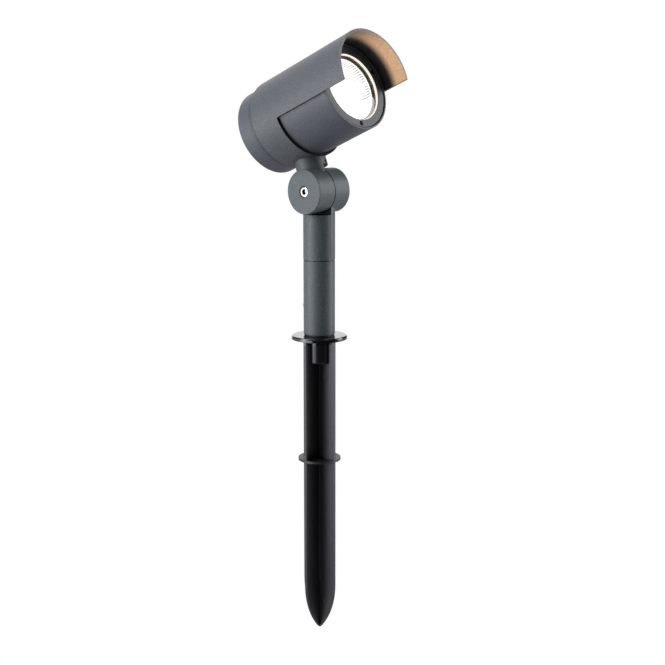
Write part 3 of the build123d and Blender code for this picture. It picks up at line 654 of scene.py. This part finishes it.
class SPOTLIGHT_OT_finishes(bpy.types.Operator):
    """Make the node groups and the materials of all pieces"""

    bl_idname = "spotlight.finishes"
    bl_label = "Finishes"

    def execute(self, context):
        finishes = context.scene.spotlight_finishes
        coat = tuple(finishes.coat)
        grain_group()
        dust_group()
        lathe_group()
        coated("anthracite_coat", coat)
        self.barrel_coat(tuple(finishes.barrel))
        knuckle_coat("stem_anthracite", coat, ledge_shade)
        knuckle_coat("neck_anthracite", coat, neck_shade)
        self.hood_coat(tuple(finishes.sleeve), tuple(finishes.hood_glow))
        self.clear_glass()
        self.lip_silicone(tuple(finishes.glow))
        moulded("collar_brown_plastic", tuple(finishes.collar), 0.4)
        self.bowl_metal()
        self.phosphor()
        self.spike_plastic(tuple(finishes.spike))
        moulded("soft_black_rubber", (0.012, 0.012, 0.012), 0.6, 900.0, 0.03)
        moulded("black_nylon", (0.02, 0.02, 0.021), 0.45)
        moulded("white_holder_plastic", (0.78, 0.77, 0.74), 0.4)
        moulded("terminal_grey_plastic", (0.62, 0.63, 0.61), 0.3)
        moulded("driver_case_plastic", (0.035, 0.036, 0.04), 0.5)
        moulded("thermal_pad_grey", (0.35, 0.4, 0.45), 0.7)
        self.socket_steel()
        machined("plain_steel", (0.55, 0.55, 0.56), 0.3)
        machined("turned_brass", (0.74, 0.56, 0.27), 0.25)
        machined("drawn_aluminium", (0.72, 0.73, 0.75), 0.3, 900.0)
        coated("black_oxide", (0.014, 0.014, 0.015), 0.35)
        return {"FINISHED"}

    def barrel_coat(self, base):
        """The barrel's coat, with painted shade in the corner behind the sleeve's rear edge."""
        surface = coated("barrel_anthracite", base)
        tree = surface.tree
        along = dot(tree, seen_from(tree, surface.place, HEAD_CENTRE), AIM)
        # Painted shade: a soft contact shadow on the barrel just behind the sleeve's rear edge
        corner = times(tree, rise_mm(tree, along, -21.5, -17.8), rise_mm(tree, along, 0.0, -5.0))
        surface.set("Base Color", surface.mix(times(tree, corner, 0.42), surface.coat, PAINTED_SHADE))

    def hood_coat(self, base, light):
        """The sleeve's coat, with the lamp's warm light painted as a glow on the hood's lining and front
        edge, and painted shade on the lining beyond that light and on the sleeve's cut end.
        """
        surface = coated("hood_anthracite", base)
        tree = surface.tree
        centred = seen_from(tree, surface.place, HEAD_CENTRE)
        along, wide, high = (dot(tree, centred, direction) for direction in (AIM, ACROSS, UPRIGHT))
        off_axis = minus(tree, squared(tree, distance(tree, centred)), squared(tree, absolute(tree, along)))
        radius = math(tree, "SQRT", larger(tree, off_axis, 0.0))
        inside = minus(tree, 1.0, rise_mm(tree, radius, 37.15, 37.45))
        # Painted light: the lamp's warm light as a speckled glow on the lining, stronger on one side
        lit = times(tree, inside, rise_mm(tree, along, 76.0, 85.5))
        side = plus(tree, times(tree, rise_mm(tree, wide, -8.0, 34.0), 0.78), 0.2)
        grains = plus(tree, times(tree, noise(tree, surface.place, 1000.0, 4.0, 0.75), 2.6), -0.35)
        lining = times(tree, times(tree, lit, side), grains)
        # Painted highlight of the lamp's light on the hood's front edge
        front = times(tree, times(tree, rise_mm(tree, along, 92.0, 93.0), side), 0.22)
        surface.glow(surface.mix(larger(tree, lining, front), BLACK, light))
        # Painted shade on the lining where the lamp's light does not reach, and on the sleeve's cut end below
        unlit = times(tree, minus(tree, inside, lit), 0.85)
        below = minus(tree, times(tree, high, -1.0), times(tree, absolute(tree, wide), 0.11))
        step = times(tree, rise_mm(tree, below, 0.5, 1.0), rise_mm(tree, along, 12.9, 13.3))
        surface.set("Base Color", surface.mix(larger(tree, unlit, step), surface.coat, PAINTED_SHADE))
        surface.wear(step)

    def clear_glass(self):
        """Glass with a light veil of dust."""
        glass = Surface("clear_glass")
        veil = glass.group("dust_veil", Amount=0.06, Scale=150.0)
        glass.set("Base Color", glass.mix(veil["Mask"], (0.98, 1.0, 0.99), (0.9, 0.91, 0.9)))
        glass.set("Roughness", 0.02)
        glass.set("Transmission Weight", 1.0)
        glass.set("IOR", 1.46)

    def lip_silicone(self, light):
        """Clear silicone; the lamp's light that it carries is painted in it as a glow."""
        gasket = moulded("clear_silicone_lip", (0.85, 0.84, 0.8), 0.35)
        lit = gasket.group("fine_grain", Scale=900.0, Tone=0.4, Drift=0.6)
        gasket.glow(gasket.mix(lit["Mask"], shade(light, 0.75), light))

    def bowl_metal(self):
        """The bright bowl, with the lamp's light painted on it all over as a glow, and painted shade as a
        dark tick on each facet of its far side.
        """
        bowl = Surface("bright_bowl", metallic=1.0)
        tree = bowl.tree
        grain = bowl.group("fine_grain", Scale=700.0, Tone=0.8, Drift=0.8)
        bowl.set("Base Color", bowl.mix(grain["Mask"], (0.33, 0.33, 0.33), (0.42, 0.42, 0.42)))
        bowl.rough(grain["Rough"], 0.25, 0.05)
        centred = seen_from(tree, bowl.place, HEAD_CENTRE)
        along, wide, high = (dot(tree, centred, direction) for direction in (AIM, ACROSS, UPRIGHT))
        # Painted shade: a dark tick at the crease of each facet, in a ring near the mouth on the far side
        turn = times(tree, math(tree, "ARCTAN2", wide, high), BOWL_FACETS / tau)
        facet = absolute(tree, minus(tree, math(tree, "FRACT", turn), 0.5))
        row = times(tree, rise_mm(tree, along, 43.0, 54.0), rise_mm(tree, along, 60.8, 59.5))
        far = rise_mm(tree, plus(tree, wide, times(tree, high, 0.35)), -12.0, 22.0)
        tick = times(tree, rise(tree, facet, 0.13, 0.27), times(tree, row, far))
        bowl.glow(bowl.mix(tick, (1.0, 0.985, 0.955), (0.1, 0.08, 0.08)), 1.12)

    def phosphor(self):
        """The glowing disc of the light source."""
        disc = Surface("phosphor")
        dots = disc.group("fine_grain", Scale=1400.0, Tone=1.0, Drift=0.5)
        disc.set("Base Color", disc.mix(dots["Mask"], (0.8, 0.55, 0.12), (1.0, 0.85, 0.4)))
        disc.glow(disc.mix(dots["Mask"], (1.0, 0.86, 0.6), (1.0, 0.95, 0.82)), 3.0)

    def spike_plastic(self, base):
        """Black plastic, glossy on the flange and softer on the fins."""
        surface = moulded("black_gloss_plastic", base, 0.3, dusty=0.008)
        tree = surface.tree
        split = apart(tree, surface.place)
        flat = add_node(tree, "ShaderNodeCombineXYZ", {"X": split["X"], "Y": split["Y"]})["Vector"]
        fins = rise_mm(tree, split["Z"], -3.0, -5.0)
        beyond = rise_mm(tree, distance(tree, flat), 11.9, 12.2)
        under = rise_mm(tree, split["Z"], -20.6, -21.4)
        clear = plus(tree, times(tree, larger(tree, beyond, under), 0.6), 0.4)
        surface.rough(times(tree, fins, clear), 0.3, 0.15)
        surface.set("Specular IOR Level", 1.0)
        surface.set("Specular Tint", (0.88, 0.88, 1.0, 1.0))

    def socket_steel(self):
        """Bright steel with painted shade inside its hexagon socket."""
        surface = machined("bright_socket_steel", (0.86, 0.87, 0.88), 0.14, marked=0.02)
        tree = surface.tree
        split = apart(tree, seen_from(tree, surface.place, PIVOT))
        radius = math(tree, "SQRT", plus(tree, squared(tree, split["X"]), squared(tree, split["Z"])))
        # Painted shade inside the hexagon socket
        inside, deep = rise_mm(tree, radius, 2.55, 2.3), rise_mm(tree, split["Y"], -18.2, -17.9)
        surface.set("Base Color", surface.mix(times(tree, inside, deep), surface.bare, (0.2, 0.2, 0.205)))


# Pieces


class SPOTLIGHT_OT_spike(bpy.types.Operator):
    """Model the ground spike with its flange, fins, ring and boss"""

    bl_idname = "spotlight.spike"
    bl_label = "Ground spike"

    def execute(self, context):
        sizes = context.scene.spotlight_sizes
        half = sizes.fin_thickness / 2
        shoulder, tip = -218.0, -261.0
        outline = self.fin_outline(sizes.fin_reach / MM, shoulder, tip)
        fins = []
        for name, across, through in (("fin_pair_x", FORWARD, ACROSS), ("fin_pair_y", ACROSS, FORWARD)):
            places = [across * x * MM + UP * z * MM - through * half for x, z in outline]
            fins.append(plate(name, places, through * 2 * half))
        flange = sizes.flange_radius / MM
        spike = solid("ground_spike", STEM_LINE, [(flange, 0.0), (flange, 3.2, 1.2)], segments=5)
        column = bar("core", STEM_LINE, 1.9, 0.7, shoulder, SMALL_STEPS)
        boss = solid("boss", twisted(STEM_LINE), [(11.8, 1.6), (11.8, -20.5, 1.1)], TUBE_STEPS, 5)
        ring = bar("ring", STEM_LINE, 18.3, -104.8, -106.8)
        combine(spike, [*fins, column, boss, ring], "UNION")
        marks = []
        for height in (-31.8, -91.5, -119.8, -177.5, -234.5):
            for facing in (-1, 1):
                line = (Vector((facing * 7.5 * MM, -half, height * MM)), ACROSS, UP)
                marks.append(bar("pin_mark", line, 2.0, -1.0, 0.25, SMALL_STEPS))
        socket = bar("stud_socket", STEM_LINE, 5.05, 3.3, -16.6, HOLE_STEPS)
        combine(spike, [*marks, socket], "DIFFERENCE")
        soften(spike, sizes.mould_round)
        place_piece(spike, "ground_spike", "base", "spike", "black_gloss_plastic")
        return {"FINISHED"}

    def fin_outline(self, reach, shoulder, tip):
        """Both sides of a pair of fins: straight down to the shoulder, then an arc to the tip."""
        top, tip_width, arc_steps = 1.1, 1.2, 12
        drop, inset = tip - shoulder, reach - tip_width
        arc_radius = (drop * drop + inset * inset) / (2 * inset)
        right = [(reach, top), (reach, shoulder)]
        for step in range(1, arc_steps + 1):
            depth = drop * step / arc_steps
            right.append((reach - arc_radius + (arc_radius ** 2 - depth ** 2) ** 0.5, shoulder + depth))
        return right + [(-x, z) for x, z in reversed(right)]


class SPOTLIGHT_OT_stem(bpy.types.Operator):
    """Model the two tubes of the stem, the upper one with its half of the knuckle"""

    bl_idname = "spotlight.stem"
    bl_label = "Stem"

    def execute(self, context):
        sizes = context.scene.spotlight_sizes
        outer, bore, foot, top = sizes.lower_radius / MM, 10.5, 4.4, 67.6
        section = [
            (outer, foot, 0.3), (outer, top, 0.6), (bore, top), (bore, 55.65), (11.0, 55.65), (11.0, foot),
        ]
        lower = turned("foot_tube", STEM_LINE, section)
        cable_line = (Vector((0, 0, 28.0 * MM)), Vector((-1, 0, 0)), UP)
        hole = bar("cable_hole", cable_line, 4.05, 5.0, 20.0, HOLE_STEPS)
        seat = bar("cable_seat", cable_line, 5.7, outer - 1.0, 20.0, HOLE_STEPS)
        combine(lower, [hole, seat], "DIFFERENCE")
        place_piece(lower, "foot_tube", "base", "lower_tube", "anthracite_coat")
        radius, lug = sizes.tube_radius / MM, sizes.lug_radius / MM
        upper = solid("stem_head", STEM_LINE, [(radius, 68.4), (radius, 126.0)])
        notch = [(-20.0, -20.0), (20.0, -20.0), (20.0, 0.25), (-20.0, 0.25)]
        notch_places = [Vector((x * MM, y * MM, LEDGE_HEIGHT * MM)) for x, y in notch]
        disc = solid("rear_disc", twisted(REAR_LUG_LINE), [(lug, -2.0), (lug, 18.05, 0.5)])
        combine(upper, [disc], "UNION")
        combine(upper, [plate("lug_notch", notch_places, UP * 40.0 * MM)], "DIFFERENCE")
        hollow = bar("stem_bore", STEM_LINE, bore, 60.0, 98.4, TUBE_STEPS)
        friction = turned("friction_recess", REAR_LUG_LINE, FRICTION_RECESS, TUBE_STEPS)
        thread = bar("insert_bore", REAR_LUG_LINE, 4.05, -1.0, 10.25, SCREW_STEPS)
        combine(upper, [hollow, friction, thread], "DIFFERENCE")
        soften(upper, sizes.cut_round, angle=40.0)
        place_piece(upper, "stem_head", "stem", "stem_knuckle", "stem_anthracite")
        return {"FINISHED"}


class SPOTLIGHT_OT_neck(bpy.types.Operator):
    """Model the head's neck with its half of the knuckle and its set screw"""

    bl_idname = "spotlight.neck"
    bl_label = "Neck"

    def execute(self, context):
        sizes = context.scene.spotlight_sizes
        radius, lug = sizes.tube_radius / MM, sizes.lug_radius / MM
        neck = solid("neck", NECK_LINE, [(radius, 0.0), (radius, 32.0)])
        behind = [(-20.0, -0.25), (20.0, -0.25), (20.0, 20.0), (-20.0, 20.0)]
        origin, axis, side = NECK_LINE
        places = [origin + side * x * MM + ACROSS * y * MM - axis * 20.0 * MM for x, y in behind]
        disc = solid("front_disc", twisted(FRONT_LUG_LINE), [(lug, -2.0), (lug, 18.75, 0.5)])
        combine(neck, [disc], "UNION")
        combine(neck, [plate("neck_notch", places, axis * 39.35 * MM)], "DIFFERENCE")
        saddle_radius = sizes.sleeve_radius / MM + 0.05
        saddle = bar("saddle", SADDLE_LINE, saddle_radius, -30.0, 30.0, SADDLE_STEPS)
        combine(neck, [saddle], "DIFFERENCE")
        boss = bar("neck_boss", NECK_LINE, 10.2, 19.0, 28.8, TUBE_STEPS)
        combine(neck, [boss], "UNION")
        stepped = [(2.55, -1.0), (2.55, 12.15), (4.9, 12.15), (4.9, 20.0)]
        counterbore = solid("screw_recess", twisted(FRONT_LUG_LINE), stepped, HOLE_STEPS)
        friction = turned("friction_recess", FRONT_LUG_LINE, FRICTION_RECESS, TUBE_STEPS)
        facing = AIM * cos(SET_SCREW_TURN) + ACROSS * sin(SET_SCREW_TURN)
        screw_line = (PIVOT + UPRIGHT * 21.5 * MM, facing, UPRIGHT)
        hole = bar("set_screw_hole", screw_line, 1.55, 3.4, 20.0, SMALL_STEPS)
        combine(neck, [counterbore, friction, hole], "DIFFERENCE")
        soften(neck, sizes.cut_round, angle=40.0)
        place_piece(neck, "neck", "head", "neck_knuckle", "neck_anthracite")
        section = [(1.0, 8.7), (1.5, 9.2), (1.5, 12.5), (1.3, 12.7)]
        grub = solid("neck_grub_screw", screw_line, section, SMALL_STEPS)
        combine(grub, [bar("drive", screw_line, 1.15, 11.6, 13.0, HEX_STEPS)], "DIFFERENCE")
        place_piece(grub, "neck_grub_screw", "head", "neck_set_screw", "black_oxide")
        return {"FINISHED"}


class SPOTLIGHT_OT_pivot_screw(bpy.types.Operator):
    """Model the bright socket-head screw of the knuckle"""

    bl_idname = "spotlight.pivot_screw"
    bl_label = "Pivot screw"

    def execute(self, context):
        top, across_flats = 18.25, 4.0
        section = [(2.1, -8.75), (2.5, -8.3), (2.5, 13.25), (4.25, 13.25, 0.15), (4.25, top, 0.45)]
        screw = solid("socket_screw", FRONT_LUG_LINE, section, SCREW_STEPS)
        hexagon = across_flats / 2 / cos(pi / HEX_STEPS)
        section = [(0.3, top - 3.1), (hexagon, top - 2.6), (hexagon, top - 0.35), (hexagon + 0.5, top + 0.15)]
        combine(screw, [solid("drive", FRONT_LUG_LINE, section, HEX_STEPS)], "DIFFERENCE")
        place_piece(screw, "socket_screw", "stem", "pivot_screw", "bright_socket_steel", 30.0)
        return {"FINISHED"}


class SPOTLIGHT_OT_barrel(bpy.types.Operator):
    """Model the sealed barrel of the lamp"""

    bl_idname = "spotlight.barrel"
    bl_label = "Barrel"

    def execute(self, context):
        radius = context.scene.spotlight_sizes.barrel_radius / MM
        section = [
            (radius, -34.7, 1.2), (radius, 69.0, 0.4), (35.3, 69.0, 0.3), (35.3, 64.0), (29.6, 64.0),
            (29.6, 59.65), (27.2, 59.65), (27.2, 56.65), (32.6, 56.65), (32.6, 28.0), (34.0, 28.0),
            (34.0, -30.0), (35.2, -30.0), (35.2, -34.7, 0.3),
        ]
        barrel = turned("lamp_barrel", HEAD_LINE, section)
        combine(barrel, [bar("neck_seat", NECK_LINE, 10.5, 20.0, 29.6, HOLE_STEPS)], "DIFFERENCE")
        place_piece(barrel, "lamp_barrel", "head", "barrel", "barrel_anthracite")
        return {"FINISHED"}


class SPOTLIGHT_OT_hood(bpy.types.Operator):
    """Model the outer sleeve, cut away below and running forward as a hood"""

    bl_idname = "spotlight.hood"
    bl_label = "Hooded sleeve"

    def execute(self, context):
        sizes = context.scene.spotlight_sizes
        outer, inner = sizes.sleeve_radius / MM, sizes.sleeve_bore / MM
        rear, front = -14.8, 93.3
        section = [(outer, rear), (outer, front), (inner, front), (inner, rear)]
        hood = turned("hooded_sleeve", HEAD_LINE, section, HOOD_STEPS)
        origin, axis, side = HEAD_LINE
        width = 2 * outer * sin(CUTOUT_ANGLE)
        edge = 2 * outer * cos(CUTOUT_ANGLE)
        wedge = [(0.0, 0.0), (width, edge), (width, -2 * outer), (-width, -2 * outer), (-width, edge)]
        places = [origin + ACROSS * x * MM + side * y * MM + axis * 13.6 * MM for x, y in wedge]
        cutter = plate("hood_cutout", places, axis * 100.0 * MM)
        hole = bar("neck_opening", NECK_LINE, 10.5, 19.0, 40.0, HOLE_STEPS)
        combine(hood, [cutter, hole], "DIFFERENCE")
        soften(hood, sizes.edge_round, angle=45.0)
        place_piece(hood, "hooded_sleeve", "head", "hood_sleeve", "hood_anthracite")
        return {"FINISHED"}


class SPOTLIGHT_OT_bezel(bpy.types.Operator):
    """Model the bezel and its small screws"""

    bl_idname = "spotlight.bezel"
    bl_label = "Bezel"

    def execute(self, context):
        section = [
            (35.0, 64.0), (35.0, 68.3, 0.9), (28.35, 68.3, 0.2), (28.35, 67.4), (29.6, 67.4), (29.6, 64.0),
        ]
        bezel = turned("bezel", HEAD_LINE, section)
        lines = lines_round(HEAD_LINE, 31.7, BEZEL_SCREW_ANGLES)
        sink_screws(bezel, lines, [(1.3, 60.0), (1.3, 65.3), (2.05, 65.3), (2.05, 70.0)])
        place_piece(bezel, "bezel", "head", "bezel_ring", "anthracite_coat")
        top = 67.3
        section = [(1.0, 59.0), (1.25, 59.3), (1.25, 65.3), (2.0, 65.3), (2.0, top, 0.3)]
        screws = socket_screws("bezel_screw", lines, section, (0.87, top - 1.1, top + 1.0))
        place_piece(screws, "bezel_cap_screws", "head", "bezel_screws", "black_oxide")
        return {"FINISHED"}


class SPOTLIGHT_OT_lens(bpy.types.Operator):
    """Model the glass, its gasket and the collar behind its edge"""

    bl_idname = "spotlight.lens"
    bl_label = "Glass, gasket and collar"

    def execute(self, context):
        glass = solid("glass_disc", HEAD_LINE, [(28.25, 63.45, 0.4), (28.25, 66.45, 0.4)])
        place_piece(glass, "glass_disc", "head", "front_glass", "clear_glass", weighted=False)
        section = [
            (28.4, 63.45), (29.5, 63.45), (29.5, 67.35, 0.2), (28.3, 67.35), (28.3, 67.85, 0.12),
            (27.6, 66.45, 0.1), (28.4, 66.45),
        ]
        lip = turned("gasket_lip", HEAD_LINE, section)
        place_piece(
            lip, "gasket_lip", "head", "glass_gasket", "clear_silicone_lip", weighted=False
        )
        section = [
            (29.5, 60.45, 0.2), (29.5, 63.45), (27.6, 63.45, 0.2), (27.6, 62.0), (25.8, 62.0, 0.15),
            (25.8, 61.2), (26.6, 61.2), (26.6, 60.45),
        ]
        collar = turned("glass_collar", HEAD_LINE, section)
        place_piece(
            collar, "glass_collar", "head", "reflector_collar", "collar_brown_plastic"
        )
        return {"FINISHED"}


class SPOTLIGHT_OT_reflector(bpy.types.Operator):
    """Model the faceted bowl of the reflector, and the disc of the light source in its throat"""

    bl_idname = "spotlight.reflector"
    bl_label = "Reflector"

    def execute(self, context):
        section = self.bowl_curve((8.6, 32.0), (19.6, 42.2), (25.8, 61.15), 9)
        section += [(26.5, 61.15), (25.9, 55.0), (22.6, 45.5), (16.6, 37.0), (9.7, 32.0)]
        bowl = turned("faceted_bowl", HEAD_LINE, section, BOWL_FACETS)
        place_piece(bowl, "faceted_bowl", "head", "reflector", "bright_bowl", smooth=0)
        disc = solid("phosphor_disc", HEAD_LINE, [(7.2, 29.7), (7.2, 30.3, 0.3), (4.0, 30.45)], HOLE_STEPS)
        place_piece(disc, "phosphor_disc", "head", "led_emitter", "phosphor")
        return {"FINISHED"}

    def bowl_curve(self, throat, belly, mouth, rows):
        """Points of a curve from the throat to the mouth that passes the belly halfway."""
        bend = [2 * middle - (start + end) / 2 for start, middle, end in zip(throat, belly, mouth)]
        curve = []
        for row in range(rows + 1):
            share = row / rows
            keep = 1 - share
            curve.append(tuple(
                keep * keep * start + 2 * keep * share * pull + share * share * end
                for start, pull, end in zip(throat, bend, mouth)
            ))
        return curve


class SPOTLIGHT_OT_rear_cap(bpy.types.Operator):
    """Model the cap that closes the barrel's rear end, and its screws"""

    bl_idname = "spotlight.rear_cap"
    bl_label = "Rear cap"

    def execute(self, context):
        face = -34.1
        section = [(34.9, -30.9), (34.9, face, 0.5), (27.0, face), (26.6, -33.7), (26.2, face)]
        cap = solid("end_cap", HEAD_LINE, section)
        lines = lines_round(HEAD_LINE, 30.4, CAP_SCREW_ANGLES)
        sink_screws(cap, lines, [(1.55, -28.0), (1.55, -32.1), (2.8, -32.1), (2.8, -36.0)])
        place_piece(cap, "end_cap", "head", "rear_cap", "anthracite_coat")
        section = [(1.2, -21.2), (1.5, -21.5), (1.5, -32.1), (2.75, -32.1), (2.75, face, 0.35)]
        screws = socket_screws("cap_screw", lines, section, (1.15, face - 1.0, face + 1.1))
        place_piece(screws, "end_cap_screws", "head", "rear_cap_screws", "black_oxide")
        return {"FINISHED"}


class SPOTLIGHT_OT_inner_finishes(bpy.types.Operator):
    """Give the solids that stay as they are their materials"""

    bl_idname = "spotlight.inner_finishes"
    bl_label = "Inner pieces"

    def execute(self, context):
        for material, nodes in INNER_FINISHES.items():
            for node in nodes:
                for slot in frame["nodes"][node].material_slots:
                    slot.material = bpy.data.materials[material]
        return {"FINISHED"}


class SPOTLIGHT_OT_stage(bpy.types.Operator):
    """Set up the pale floor, the soft lights and the camera"""

    bl_idname = "spotlight.stage"
    bl_label = "Stage"

    def execute(self, context):
        scene = context.scene
        studio = scene.spotlight_studio
        scene.view_settings.view_transform = "Standard"
        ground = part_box("spike")[0].z - FLOOR_GAP
        clear_selection()
        bpy.ops.mesh.primitive_circle_add(
            vertices=96, radius=FLOOR_RADIUS, fill_type="NGON", location=(0, 0, ground)
        )
        floor = context.object
        floor.name = "studio_floor"
        bpy.ops.object.mode_set(mode="EDIT")
        bpy.ops.mesh.inset(thickness=FLOOR_INSET)
        bpy.ops.object.mode_set(mode="OBJECT")
        apply_place()
        floor.data.materials.append(self.pale(studio.floor))
        self.room(scene, studio.room)
        for name, size, place in LIGHTS:
            self.area_light(name + "_light", getattr(studio, name), size, Vector(place))
        bpy.ops.object.camera_add(location=CAMERA_PLACE, rotation=CAMERA_TURN)
        camera = context.object
        camera.name = "photo_camera"
        camera.data.sensor_width = SENSOR_WIDTH
        camera.data.lens = CAMERA_LENS
        camera.data.clip_start = 0.05
        camera.data.clip_end = 60.0
        scene.camera = camera
        return {"FINISHED"}

    def pale(self, brightness):
        """The floor's paint: white to the camera, and lit or dark in parts to the lamp's surfaces."""
        surface = Surface("pale_floor")
        tree = surface.tree
        grain = surface.group("fine_grain", Scale=40.0, Tone=0.2, Drift=0.1)
        behind = rise(tree, dot(tree, surface.place, TO_THE_BACK), -0.55, 0.0)
        far = distance(tree, surface.place)
        left = math(tree, "DIVIDE", dot(tree, surface.place, TO_THE_LEFT), far)
        away = plus(tree, times(tree, rise(tree, far, 1.4, 1.8), 0.85), 0.15)
        right = math(tree, "DIVIDE", dot(tree, surface.place, TO_THE_RIGHT), far)
        near = times(tree, rise(tree, right, 0.6, 0.95), rise(tree, far, 1.1, 0.7))
        shine = plus(tree, times(tree, rise(tree, left, 0.6, 0.98), away), times(tree, near, 0.6))
        surface.glow(surface.mix(shine, BLACK, WHITE), brightness)
        front = surface.mix(grain["Mask"], (0.03, 0.03, 0.03), (0.04, 0.04, 0.04))
        surface.set("Base Color", surface.mix(behind, front, (0.46, 0.46, 0.46)))
        camera_ray = add_node(tree, "ShaderNodeLightPath", {})["Is Camera Ray"]
        white = add_node(tree, "ShaderNodeEmission", {"Strength": 1.0})["Emission"]
        inputs = {"Fac": camera_ray, 1: surface.shader.outputs["BSDF"], 2: white}
        shown = add_node(tree, "ShaderNodeMixShader", inputs)["Shader"]
        feed(tree, tree.nodes["Material Output"].inputs["Surface"], shown)
        return surface.material

    def room(self, scene, brightness):
        """A pale room that is white to the camera and softer to the surfaces."""
        world = bpy.data.worlds.new("pale_room")
        world.use_nodes = True
        scene.world = world
        tree = world.node_tree
        camera_ray = add_node(tree, "ShaderNodeLightPath", {})["Is Camera Ray"]
        level = plus(tree, times(tree, camera_ray, 1.0 - brightness), brightness)
        background = tree.nodes["Background"].inputs
        feed(tree, background["Strength"], level)
        feed(tree, background["Color"], (*WHITE, 1.0))

    def area_light(self, name, energy, size, place):
        """A large soft light that faces the lamp."""
        turn = (LAMP_MIDDLE - place).to_track_quat("-Z", "Y").to_euler()
        bpy.ops.object.light_add(type="AREA", location=place, rotation=turn)
        light = bpy.context.object
        light.name = name
        light.data.name = name
        light.data.shape = "RECTANGLE"
        light.data.size, light.data.size_y = size
        light.data.energy = energy
        light.visible_camera = False


OPERATORS = (
    SPOTLIGHT_OT_finishes,
    SPOTLIGHT_OT_spike,
    SPOTLIGHT_OT_stem,
    SPOTLIGHT_OT_neck,
    SPOTLIGHT_OT_pivot_screw,
    SPOTLIGHT_OT_barrel,
    SPOTLIGHT_OT_hood,
    SPOTLIGHT_OT_bezel,
    SPOTLIGHT_OT_lens,
    SPOTLIGHT_OT_reflector,
    SPOTLIGHT_OT_rear_cap,
    SPOTLIGHT_OT_inner_finishes,
    SPOTLIGHT_OT_stage,
)
SETTINGS = {
    "spotlight_sizes": SpotlightSizes,
    "spotlight_finishes": SpotlightFinishes,
    "spotlight_studio": StudioSettings,
}


class SPOTLIGHT_PT_panel(bpy.types.Panel):
    """Sidebar panel that lists the pieces and the settings"""

    bl_idname = "SPOTLIGHT_PT_panel"
    bl_label = "Spotlight"
    bl_space_type = "VIEW_3D"
    bl_region_type = "UI"
    bl_category = "Spotlight"

    def draw(self, context):
        layout = self.layout
        for operator in OPERATORS:
            layout.operator(operator.bl_idname)
        for settings in SETTINGS:
            group = getattr(context.scene, settings)
            box = layout.box()
            for name in group.__annotations__:
                box.prop(group, name)


CLASSES = (*SETTINGS.values(), *OPERATORS, SPOTLIGHT_PT_panel)


def register():
    for item in CLASSES:
        bpy.utils.register_class(item)
    for name, group in SETTINGS.items():
        setattr(bpy.types.Scene, name, bpy.props.PointerProperty(type=group))


def unregister():
    for name in SETTINGS:
        delattr(bpy.types.Scene, name)
    for item in reversed(CLASSES):
        bpy.utils.unregister_class(item)


def main():
    register()
    for operator in OPERATORS:
        family, name = operator.bl_idname.split(".")
        getattr(getattr(bpy.ops, family), name)()
    clear_selection()


if __name__ == "__main__":
    main()
